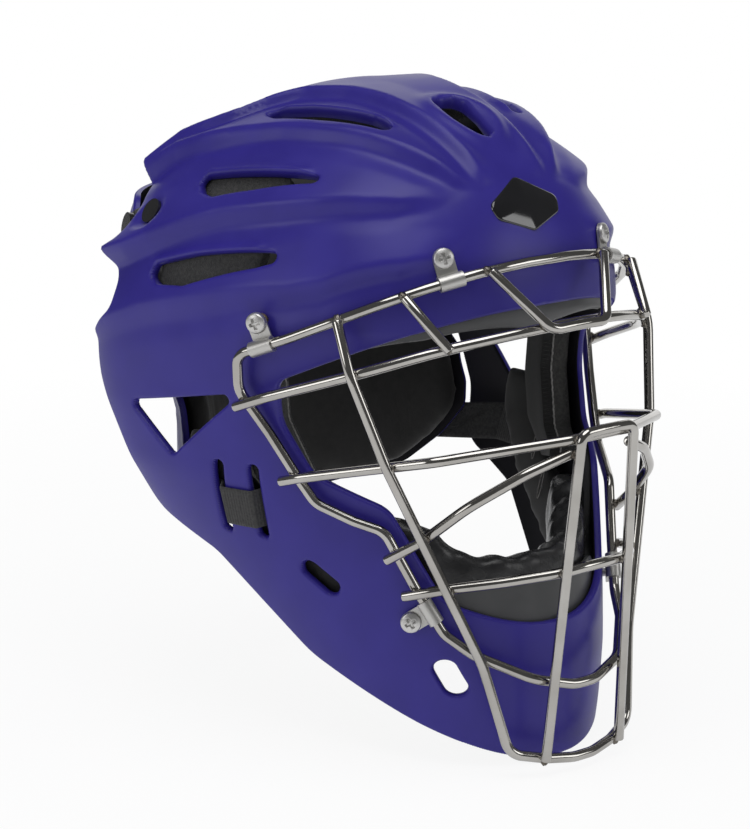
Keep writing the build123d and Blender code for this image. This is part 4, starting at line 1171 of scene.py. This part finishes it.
def pad_edge_line(name, fill, inset, finish, radius=0.45):
    """The frayed edge of a pad's lining, as a thin uneven cord on its rim."""
    step = {}
    for i, j in fill.rim:
        step[i] = j
    lines, left = [], set(step)
    while left:
        first = min(left)
        line, at = [first], step.get(first)
        left.discard(first)
        while at is not None and at in left:
            line.append(at)
            left.discard(at)
            at = step.get(at)
        lines.append(line)
    longest = max(lines, key=len)
    spots = fill.base[longest] - fill.out[longest] * inset
    made = []
    for sign in (1.0, -1.0):
        path = divide(spots * (sign, 1.0, 1.0), 1.2, closed=True)
        wobble = np.stack([np.sin(2.3 * np.arange(len(path)) + k) for k in (0.0, 2.1, 4.2)], -1)
        points, faces = tube(path + 0.12 * wobble, radius, 8, True, 0.0)
        made.append(make_object(name + ("_right" if sign > 0.0 else "_left"), points, faces,
                                [finish]))
    return made


def stitch_loops(name, inset, spots):
    """Narrow sewn loops on the head side of a pad."""
    for sign, side in ((1.0, "_right"), (-1.0, "_left")):
        all_points, all_faces, count = [], [], 0
        for y, z, length, width, turn in spots:
            angle = np.linspace(0.0, math.tau, 60, endpoint=False)
            across = width / 2.0 * np.sin(angle)
            along = length / 2.0 * np.cos(angle)
            lean = math.radians(turn)
            ys = y + across * math.cos(lean) - along * math.sin(lean)
            zs = z + across * math.sin(lean) + along * math.cos(lean)
            line = place_on(SKIN, SKIN.angle_at(ys, zs), zs, -inset)
            points, faces = tube(divide(line, 0.8, True) * (sign, 1.0, 1.0), 0.3, 6, True, 0.0)
            all_points.append(points)
            all_faces += [[k + count for k in face] for face in faces]
            count += len(points)
        thread = make_object(name + side, np.concatenate(all_points), all_faces,
                             ["thread_grey"])
        seat(thread, "helmet", "foam")


def build_head_pads(spacing, voxel):
    crown = Fill(SKIN, [("edge", plan_line([(0, -46), (-34, -46), (-34, 20), (0, 20)],
                                           [0, 9, 9, 0])),
                        ("mid", middle_line(SKIN.flat(np.array(math.pi), np.array(147.6)),
                                            SKIN.flat(np.array(0.0), np.array(146.4))))],
                 (), spacing)
    for made in pad_solid("crown_foam", crown, 4.4, 11.5, 0.6, 4.0, ["foam_grey"], True):
        seat(made, "helmet", "foam", "crown_pad")
    brow = Fill(SKIN, [("edge", SKIN.flat(*brow_edge())),
                       ("mid", middle_line(SKIN.flat(np.array(0.0), np.array(91.5)),
                                           SKIN.flat(np.array(0.0), np.array(49.5))))],
                (), spacing)
    for made in pad_solid("brow_foam", brow, 4.4, 14.0, 0.8, 4.5,
                          ["vinyl_grey", "vinyl_grey", "lining_black"], True):
        seat(made, "helmet", "foam", "brow_pad")
    temple = Fill(SKIN, [("edge", close_line(side_loop(SKIN, [
        (-0.305, 0.37), (-0.305, 0.79), (0.12, 0.79), (0.12, 0.37)], 9.0)))], (), spacing)
    for made, node in zip(pad_solid("temple_foam", temple, 4.4, 9.5, 0.4, 3.5, ["foam_grey"]),
                          both("temple_pad")):
        seat(made, "helmet", "foam", node)
    cheek = Fill(SKIN, [("edge", close_line(side_loop(SKIN, CHEEK_SHARES, 4.0)))], (), spacing)
    finishes = ["foam_grey", "foam_grey", "lining_black"]
    for made, node in zip(pad_solid("cheek_foam", cheek, 6.5, 13.6, 0.3, 1.4, finishes),
                          both("cheek_pad")):
        seat(made, "helmet", "foam", node)
    for made in pad_edge_line("cheek_lining_edge", cheek, 15.0, "thread_grey"):
        seat(made, "helmet", "foam")
    jaw = Fill(SKIN, [("edge", close_line(side_loop(SKIN, JAW_SHARES, 5.0)))], (), spacing)
    for made, node in zip(pad_solid("jaw_foam", jaw, 6.6, 7.4, 0.0, 4.0, ["lining_black"]),
                          both("jaw_pad")):
        inflate(made, voxel, 2.5, near_points(made, jaw, 6.6))
        seat(made, "helmet", "foam", node)
    stitch_loops("jaw_stitches", 15.6, [(-42, -36, 15, 3, 10), (-54, -52, 16, 3, 14)])


def near_points(made, fill, inset):
    """The shell side of a pad on the same side as its object."""
    sign = -1.0 if made.name.endswith("_left") else 1.0
    return (fill.base - fill.out * inset) * (sign, 1.0, 1.0)


def brow_edge():
    """The brow pad's edge from the middle plane's foot round to its top."""
    line = rounded([(0.0, 49.5), (28.0 * 1.9, 48.0), (45.0 * 1.9, 41.0), (50.0 * 1.9, 52.0),
                    (44.0 * 1.9, 84.0), (24.0 * 1.9, 91.5), (0.0, 91.5)],
                   [0.0, 20.0, 7.0, 12.0, 12.0, 14.0, 0.0])
    return np.radians(line[:, 0] / 1.9), line[:, 1]


def close_line(line):
    return np.concatenate([line, line[:1]])


def build_chin(spacing, voxel, cap):
    cup = Fill(SKIN, half_pieces(SKIN, CUP_SHARES, 7.0), (), spacing)
    made = pad_solid("chin_cup_leather", cup, 7.8, 15.0, 0.0, 6.0, ["leather_black"], True)[0]
    shell_side = cup.base - cup.out * 7.8
    shell_side = np.concatenate([shell_side, shell_side * (-1.0, 1.0, 1.0)])
    inflate(made, voxel, cap, shell_side)
    wrinkle(made)
    seat(made, "helmet", "leather", "chin_cup")
    panel = Fill(SKIN, half_pieces(SKIN, PANEL_SHARES, 6.0), (), spacing)
    for made in pad_solid("chin_panel_vinyl", panel, 4.4, 2.6, 0.0, 1.6, ["vinyl_grey"], True):
        seat(made, "helmet", "vinyl", "chin_panel")


def wrinkle(made):
    """Gathers the cup's leather where it turns over the top edge."""
    made.data.update()
    count = len(made.data.vertices)
    spots, facing = np.empty(count * 3), np.empty(count * 3)
    made.data.vertices.foreach_get("co", spots)
    made.data.vertices.foreach_get("normal", facing)
    spots, facing = spots.reshape(-1, 3) / METRES, facing.reshape(-1, 3)
    top = ease((spots[:, 2] + 68.0) / 18.0)
    turn = np.arctan2(spots[:, 0], -spots[:, 1] - 60.0)
    folds = (np.sin(17.0 * turn + 0.9 * np.sin(5.0 * turn) + 0.08 * spots[:, 2])
             + 0.6 * np.sin(31.0 * turn + 1.7 + 0.13 * spots[:, 1]))
    spots += facing * (0.75 * top * folds)[:, None]
    made.data.vertices.foreach_set("co", (spots * METRES).ravel())
    made.data.update()


def build_rear(spacing, voxel, cap):
    plate = Fill(PLATE, half_pieces(PLATE, PLATE_SHARES, 9.0), (), spacing, (0.4, 0.9, 1.6))
    roll = np.clip(1.2 - plate.edge, 0.0, 1.2)
    drop = 1.2 - np.sqrt(np.maximum(1.44 - roll ** 2, 0.0))
    seam = 0.9 * np.exp(-((plate.edge - 9.0) / 2.2) ** 2)
    outer = plate.base + plate.out * (seam * ease(plate.edge / 4.0) - drop)[:, None]
    inner = plate.base - plate.out * 3.0
    outer[plate.middle, 0] = inner[plate.middle, 0] = 0.0
    points, faces, kinds = plate.solid(outer, inner)
    points, faces, kinds = mirrored(points, faces, kinds, np.tile(plate.middle, 2))
    made = make_object("rear_plate_shell", points, faces,
                       ["shell_matte", "shell_matte", "shell_inside"], kinds, 50.0)
    seat(made, "back_plate", "shell_plastic", "rear_plate")
    shares = shrink_loop(PLATE_SHARES, 2.5)
    pad = Fill(PLATE, half_pieces(PLATE, shares, 9.0), (), spacing)
    made = pad_solid("rear_pad_foam", pad, 3.6, 11.5, 0.0, 6.0, ["vinyl_grey"], True)[0]
    shell_side = pad.base - pad.out * 3.6
    shell_side = np.concatenate([shell_side, shell_side * (-1.0, 1.0, 1.0)])
    inflate(made, voxel, cap, shell_side)
    made.data.materials.clear()
    made.data.materials.append(finish_of("lining_black"))
    seat(made, "back_plate", "foam", "rear_pad")


def shrink_loop(shares, amount):
    """A side-view loop drawn in on all sides, in shares again."""
    line = np.array([side_place(share) for share in shares])
    ahead = unit(np.roll(line, -1, axis=0) - line)
    behind = unit(line - np.roll(line, 1, axis=0))
    first = np.stack([-ahead[:, 1], ahead[:, 0]], axis=-1)
    second = np.stack([-behind[:, 1], behind[:, 0]], axis=-1)
    sign = 1.0 if signed_area(line) > 0.0 else -1.0
    inward = sign * (first + second)
    inward /= np.maximum((inward ** 2).sum(1, keepdims=True) / 2.0, 0.4)
    moved = line + inward * amount
    return [(y / REACH, z / DROP) for y, z in moved]


def ribbon(top, bottom, thickness, rib, rib_depth):
    """Points and faces of ribbed webbing between two edge lines."""
    count = max(8, int(np.linalg.norm(np.diff(top, axis=0), axis=1).sum() / (rib / 4.0)))
    top, bottom = even_pair(top, bottom, count)
    middle, across = (top + bottom) / 2.0, top - bottom
    width = np.linalg.norm(across, axis=1)[:, None]
    across = across / width
    along = unit(np.gradient(middle, axis=0))
    out = unit(np.cross(along, across))
    wave = rib_depth * np.cos(np.arange(count) * math.tau / 4.0)[:, None]
    half = thickness / 2.0 - rib_depth
    section = [(-0.5, -0.35), (-0.47, -0.9), (-0.40, -1.0), (0.40, -1.0), (0.47, -0.9),
               (0.5, -0.35), (0.5, 0.35), (0.47, 0.9), (0.40, 1.0), (0.20, 1.0), (0.0, 1.0),
               (-0.20, 1.0), (-0.40, 1.0), (-0.47, 0.9), (-0.5, 0.35)]
    rows = [middle + across * width * u + out * (v * (half + wave)) for u, v in section]
    points = np.stack(rows, axis=1).reshape(-1, 3)
    size = len(section)
    faces = [[i * size + k, i * size + (k + 1) % size, (i + 1) * size + (k + 1) % size,
              (i + 1) * size + k] for i in range(count - 1) for k in range(size)]
    faces += [list(range(size))[::-1], list(range((count - 1) * size, count * size))]
    return points, faces


def even_pair(first, second, count):
    """Two lines again at the same even steps of the first one's length."""
    length = np.concatenate([[0.0], np.cumsum(np.linalg.norm(np.diff(first, axis=0), axis=1))])
    places = np.linspace(0.0, length[-1], count)
    return [np.stack([np.interp(places, length, column) for column in line.T], axis=-1)
            for line in (first, second)]


def strap_edge(level, radii=1.4):
    """One edge of a lower strap: inside the shell, out through a slot, in and to the plate."""
    stops = [(-50.0, -5.1), (-43.2, -5.1), (-41.5, -2.0), (-39.8, 1.1), (-32.0, 1.1),
             (-24.0, 1.1), (-22.4, -2.0), (-20.8, -5.1), (-7.1, -5.1), (8.0, -5.1)]
    spots = [place_on(SKIN, SKIN.angle_at(np.array(y), np.array(level)), np.array(level), lift)
             for y, lift in stops]
    spots += [place_on(PLATE, PLATE.angle_at(np.array(y), np.array(level)), np.array(level), 1.1)
              for y in (34.8, 41.2, 47.6)]
    return rounded([spot.reshape(3) for spot in spots], [radii] * len(spots))


def upper_strap_edges():
    """Both edges of an upper strap, from under the shell's rivet to the rear plate."""
    turn, level = np.array(math.radians(97.6)), np.array(93.8)
    out = normals(SKIN, SKIN.flat(turn, level))
    rivet = SKIN.point(turn, level) - out * 5.7
    seats = []
    for degrees, height in ((104.0, 84.0), (113.0, 79.5), (122.0, 75.0)):
        side, reach, _ = PLATE.sizes(height)
        ray = math.radians(degrees)
        angle = math.atan2(math.sin(ray) / side, math.cos(ray) / reach)
        flat = PLATE.flat(np.array(angle), np.array(height))
        facing = normals(PLATE, flat)
        seats.append((PLATE.point(angle, height) + facing * 1.1, facing))
    line = seats[0][0] - rivet
    line = unit(line - out * (line @ out))
    stations = [(rivet + line * reach, out) for reach in (-7.5, 0.0, 5.0)] + seats
    first, second = [], []
    for i, (spot, facing) in enumerate(stations):
        ahead = stations[min(i + 1, len(stations) - 1)][0] - stations[max(i - 1, 0)][0]
        across = unit(np.cross(facing, ahead))
        first.append(spot + across * 8.0)
        second.append(spot - across * 8.0)
    return rounded(first, [3.0] * 6), rounded(second, [3.0] * 6)


def build_straps():
    edges = {"upper": upper_strap_edges(), "lower": (strap_edge(-25.0), strap_edge(-43.0))}
    for name, (top, bottom) in edges.items():
        count = min(len(top), len(bottom))
        top, bottom = top[:count], bottom[:count]
        points, faces = ribbon(top, bottom, 1.6, 1.5, 0.12)
        for sign, side in ((1.0, "_right"), (-1.0, "_left")):
            turned = faces if sign > 0.0 else [face[::-1] for face in faces]
            webbing = make_object(name + "_webbing" + side, points * (sign, 1.0, 1.0), turned,
                                  ["webbing_grey"], None, 50.0)
            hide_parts(name + "_strap" + side)
            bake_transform(webbing)


def build_stage(distance, lens, key_power, fill_power, ambient):
    scene = bpy.context.scene
    scene.view_settings.view_transform = "Standard"
    scene.render.resolution_x, scene.render.resolution_y = 750, 829
    right = Vector((0.7587, -0.6514, 0.0))
    up = Vector((0.1510, 0.1758, 0.9728))
    back = Vector((-0.6337, -0.7381, 0.2317))
    spot = right * 0.0072 - up * 0.01176 + back * distance
    data = bpy.data.cameras.new("camera")
    data.lens, data.sensor_width = lens, 36.0
    data.dof.use_dof = False
    camera = bpy.data.objects.new("camera", data)
    scene.collection.objects.link(camera)
    turned = Matrix((right, up, back)).transposed().to_4x4()
    camera.matrix_world = Matrix.Translation(spot) @ turned
    scene.camera = camera
    world = bpy.data.worlds.new("studio")
    scene.world = world
    world.use_nodes = True
    nodes, links = world.node_tree.nodes, world.node_tree.links
    surround = nodes["Background"]
    surround.inputs["Color"].default_value = (0.95, 0.97, 1.0, 1.0)
    surround.inputs["Strength"].default_value = ambient
    dim, white = nodes.new("ShaderNodeBackground"), nodes.new("ShaderNodeBackground")
    dim.inputs["Color"].default_value = (DIM, DIM, DIM, 1.0)
    white.inputs["Color"].default_value = (1.0, 1.0, 1.0, 1.0)
    path = nodes.new("ShaderNodeLightPath")
    glossy, seen = nodes.new("ShaderNodeMixShader"), nodes.new("ShaderNodeMixShader")
    links.new(path.outputs["Is Glossy Ray"], glossy.inputs["Fac"])
    links.new(surround.outputs["Background"], glossy.inputs[1])
    links.new(dim.outputs["Background"], glossy.inputs[2])
    links.new(path.outputs["Is Camera Ray"], seen.inputs["Fac"])
    links.new(glossy.outputs["Shader"], seen.inputs[1])
    links.new(white.outputs["Background"], seen.inputs[2])
    links.new(seen.outputs["Shader"], nodes["World Output"].inputs["Surface"])
    lamps = [("key", (-0.25, -0.30, 1.45), 1.3, key_power),
             ("side", (-1.5, 0.2, 0.55), 0.8, fill_power),
             ("front", (0.9, -1.5, 0.6), 0.8, fill_power)]
    for name, place, size, power in lamps:
        lamp = bpy.data.lights.new(name, "AREA")
        lamp.shape, lamp.size, lamp.energy = "DISK", size, power
        made = bpy.data.objects.new(name, lamp)
        scene.collection.objects.link(made)
        made.location = place
        made.rotation_euler = (-Vector(place)).to_track_quat("-Z", "Y").to_euler()
    floor = make_object("floor", [(-3000, -3000, -148.5), (3000, -3000, -148.5),
                                  (3000, 3000, -148.5), (-3000, 3000, -148.5)],
                        [[0, 1, 2, 3]], [])
    floor.data.materials.append(white_card("floor_white", ("Is Camera Ray",), 0.90, 1.0))
    card = make_object("backdrop", [(500, 2600, -148.0), (3400, 600, -148.0),
                                    (3400, 600, 1900), (500, 2600, 1900)], [[0, 1, 2, 3]], [])
    card.data.materials.append(white_card(
        "backdrop_white", ("Is Camera Ray", "Is Glossy Ray"), 1.0, 0.5))


def white_card(name, rays, share, plain):
    """A white surface that glows only for the named rays."""
    material = bpy.data.materials.new(name)
    material.use_nodes = True
    nodes, links = material.node_tree.nodes, material.node_tree.links
    shader = nodes["Principled BSDF"]
    shader.inputs["Base Color"].default_value = (plain, plain, plain, 1.0)
    shader.inputs["Roughness"].default_value = 1.0
    shader.inputs["Specular IOR Level"].default_value = 0.0
    glow = nodes.new("ShaderNodeEmission")
    glow.inputs["Color"].default_value = (1.0, 1.0, 1.0, 1.0)
    path = nodes.new("ShaderNodeLightPath")
    either = nodes.new("ShaderNodeMath")
    either.operation = "MAXIMUM"
    for i, ray in enumerate(rays):
        links.new(path.outputs[ray], either.inputs[i])
    place, reach = nodes.new("ShaderNodeTexCoord"), nodes.new("ShaderNodeVectorMath")
    reach.operation = "LENGTH"
    fade = nodes.new("ShaderNodeMapRange")
    fade.inputs["From Min"].default_value, fade.inputs["From Max"].default_value = 0.30, 0.75
    fade.inputs["To Min"].default_value = share
    links.new(place.outputs["Object"], reach.inputs[0])
    links.new(reach.outputs["Value"], fade.inputs["Value"])
    amount = nodes.new("ShaderNodeMath")
    amount.operation = "MULTIPLY"
    mix = nodes.new("ShaderNodeMixShader")
    links.new(either.outputs["Value"], amount.inputs[0])
    links.new(fade.outputs["Result"], amount.inputs[1])
    links.new(amount.outputs["Value"], mix.inputs["Fac"])
    links.new(shader.outputs["BSDF"], mix.inputs[1])
    links.new(glow.outputs["Emission"], mix.inputs[2])
    links.new(mix.outputs["Shader"], nodes["Material Output"].inputs["Surface"])
    return material


class HelmetShellSettings(bpy.types.PropertyGroup):
    """Sizes of the shell's mesh and its rolled edges"""

    spacing: bpy.props.FloatProperty(
        name="Spacing", description="Distance between mesh points on the shell",
        default=0.0017, subtype="DISTANCE", unit="LENGTH")
    edge_radius: bpy.props.FloatProperty(
        name="Edge radius", description="Radius of the rolled edges", default=0.0016,
        subtype="DISTANCE", unit="LENGTH")


class HelmetCageSettings(bpy.types.PropertyGroup):
    """Detail of the cage wires and their welds"""

    sides: bpy.props.IntProperty(
        name="Sides", description="Faces round each wire", default=28)
    bead: bpy.props.FloatProperty(
        name="Weld bead", description="Radius of the bead where two wires touch",
        default=0.0021, subtype="DISTANCE", unit="LENGTH")


class HelmetPadSettings(bpy.types.PropertyGroup):
    """Mesh and simulation sizes of the soft pieces"""

    spacing: bpy.props.FloatProperty(
        name="Spacing", description="Distance between mesh points on a pad",
        default=0.0030, subtype="DISTANCE", unit="LENGTH")
    voxel: bpy.props.FloatProperty(
        name="Voxel", description="Voxel size of a pad before its cloth simulation",
        default=0.0040, subtype="DISTANCE", unit="LENGTH")
    cap: bpy.props.FloatProperty(
        name="Cap", description="Most that a point may move as a pad swells",
        default=0.0050, subtype="DISTANCE", unit="LENGTH")


class HelmetStageSettings(bpy.types.PropertyGroup):
    """Camera and lamps"""

    distance: bpy.props.FloatProperty(
        name="Distance", description="Camera distance from the helmet's middle",
        default=1.5, subtype="DISTANCE", unit="LENGTH")
    lens: bpy.props.FloatProperty(
        name="Lens", description="Focal length of the camera in millimetres",
        default=135.7)
    key_power: bpy.props.FloatProperty(
        name="Key", description="Power of the overhead lamp", default=11.0, subtype="POWER",
        unit="POWER")
    fill_power: bpy.props.FloatProperty(
        name="Fill", description="Power of each side lamp", default=3.5, subtype="POWER",
        unit="POWER")
    ambient: bpy.props.FloatProperty(
        name="Ambient", description="Strength of the surrounding light", default=0.38)


class HELMET_OT_stage(bpy.types.Operator):
    """Makes the camera, the lamps and the white surround"""

    bl_idname = "helmet.stage"
    bl_label = "Stage"

    def execute(self, context):
        sizes = context.scene.helmet_stage
        build_stage(sizes.distance, sizes.lens, sizes.key_power, sizes.fill_power,
                    sizes.ambient)
        return {"FINISHED"}


class HELMET_OT_shell(bpy.types.Operator):
    """Makes the shell with its terraces, vents and slots"""

    bl_idname = "helmet.shell"
    bl_label = "Shell"

    def execute(self, context):
        sizes = context.scene.helmet_shell
        coarse = 1.0
        build_shell(coarse * sizes.spacing / METRES, sizes.edge_radius / METRES)
        return {"FINISHED"}


class HELMET_OT_badge(bpy.types.Operator):
    """Makes the plain domed brow badge"""

    bl_idname = "helmet.badge"
    bl_label = "Brow badge"

    def execute(self, context):
        build_badge()
        return {"FINISHED"}


class HELMET_OT_cage(bpy.types.Operator):
    """Makes the cage's wires and weld beads"""

    bl_idname = "helmet.cage"
    bl_label = "Face cage"

    def execute(self, context):
        sizes = context.scene.helmet_cage
        build_cage(sizes.sides, sizes.bead / METRES)
        return {"FINISHED"}


class HELMET_OT_fasteners(bpy.types.Operator):
    """Finishes the clips, screws, inserts, rivets and anchors"""

    bl_idname = "helmet.fasteners"
    bl_label = "Clips and screws"

    def execute(self, context):
        build_fasteners()
        return {"FINISHED"}


class HELMET_OT_head_pads(bpy.types.Operator):
    """Makes the crown, brow, temple, cheek and jaw pads"""

    bl_idname = "helmet.head_pads"
    bl_label = "Head pads"

    def execute(self, context):
        sizes = context.scene.helmet_pads
        build_head_pads(sizes.spacing / METRES, sizes.voxel / METRES)
        return {"FINISHED"}


class HELMET_OT_chin(bpy.types.Operator):
    """Makes the leather chin cup and its smooth front panel"""

    bl_idname = "helmet.chin"
    bl_label = "Chin cup"

    def execute(self, context):
        sizes = context.scene.helmet_pads
        build_chin(sizes.spacing / METRES, sizes.voxel / METRES, sizes.cap / METRES)
        return {"FINISHED"}


class HELMET_OT_rear(bpy.types.Operator):
    """Makes the rear plate and its pad"""

    bl_idname = "helmet.rear"
    bl_label = "Rear plate"

    def execute(self, context):
        sizes = context.scene.helmet_pads
        build_rear(sizes.spacing / METRES, sizes.voxel / METRES, 0.4 * sizes.cap / METRES)
        return {"FINISHED"}


class HELMET_OT_straps(bpy.types.Operator):
    """Makes the ribbed straps, which bend between the shell and the rear plate"""

    bl_idname = "helmet.straps"
    bl_label = "Straps"

    def execute(self, context):
        build_straps()
        return {"FINISHED"}


STEPS = (HELMET_OT_stage, HELMET_OT_shell, HELMET_OT_badge, HELMET_OT_cage,
         HELMET_OT_fasteners, HELMET_OT_head_pads, HELMET_OT_chin, HELMET_OT_rear,
         HELMET_OT_straps)
SETTINGS = {"helmet_stage": HelmetStageSettings, "helmet_shell": HelmetShellSettings,
            "helmet_cage": HelmetCageSettings, "helmet_pads": HelmetPadSettings}


class HELMET_PT_panel(bpy.types.Panel):
    """Lists the helmet's pieces"""

    bl_label = "Helmet"
    bl_idname = "HELMET_PT_panel"
    bl_space_type = "VIEW_3D"
    bl_region_type = "UI"
    bl_category = "Helmet"

    def draw(self, context):
        for step in STEPS:
            self.layout.operator(step.bl_idname)


def register():
    for group in SETTINGS.values():
        bpy.utils.register_class(group)
    for step in (*STEPS, HELMET_PT_panel):
        bpy.utils.register_class(step)
    for name, group in SETTINGS.items():
        setattr(bpy.types.Scene, name, bpy.props.PointerProperty(type=group))


def unregister():
    for name in SETTINGS:
        delattr(bpy.types.Scene, name)
    for step in (HELMET_PT_panel, *STEPS[::-1]):
        bpy.utils.unregister_class(step)
    for group in SETTINGS.values():
        bpy.utils.unregister_class(group)


def main():
    register()
    bpy.ops.helmet.stage()
    bpy.ops.helmet.shell()
    bpy.ops.helmet.badge()
    bpy.ops.helmet.cage()
    bpy.ops.helmet.fasteners()
    bpy.ops.helmet.head_pads()
    bpy.ops.helmet.chin()
    bpy.ops.helmet.rear()
    bpy.ops.helmet.straps()


if __name__ == "__main__":
    main()
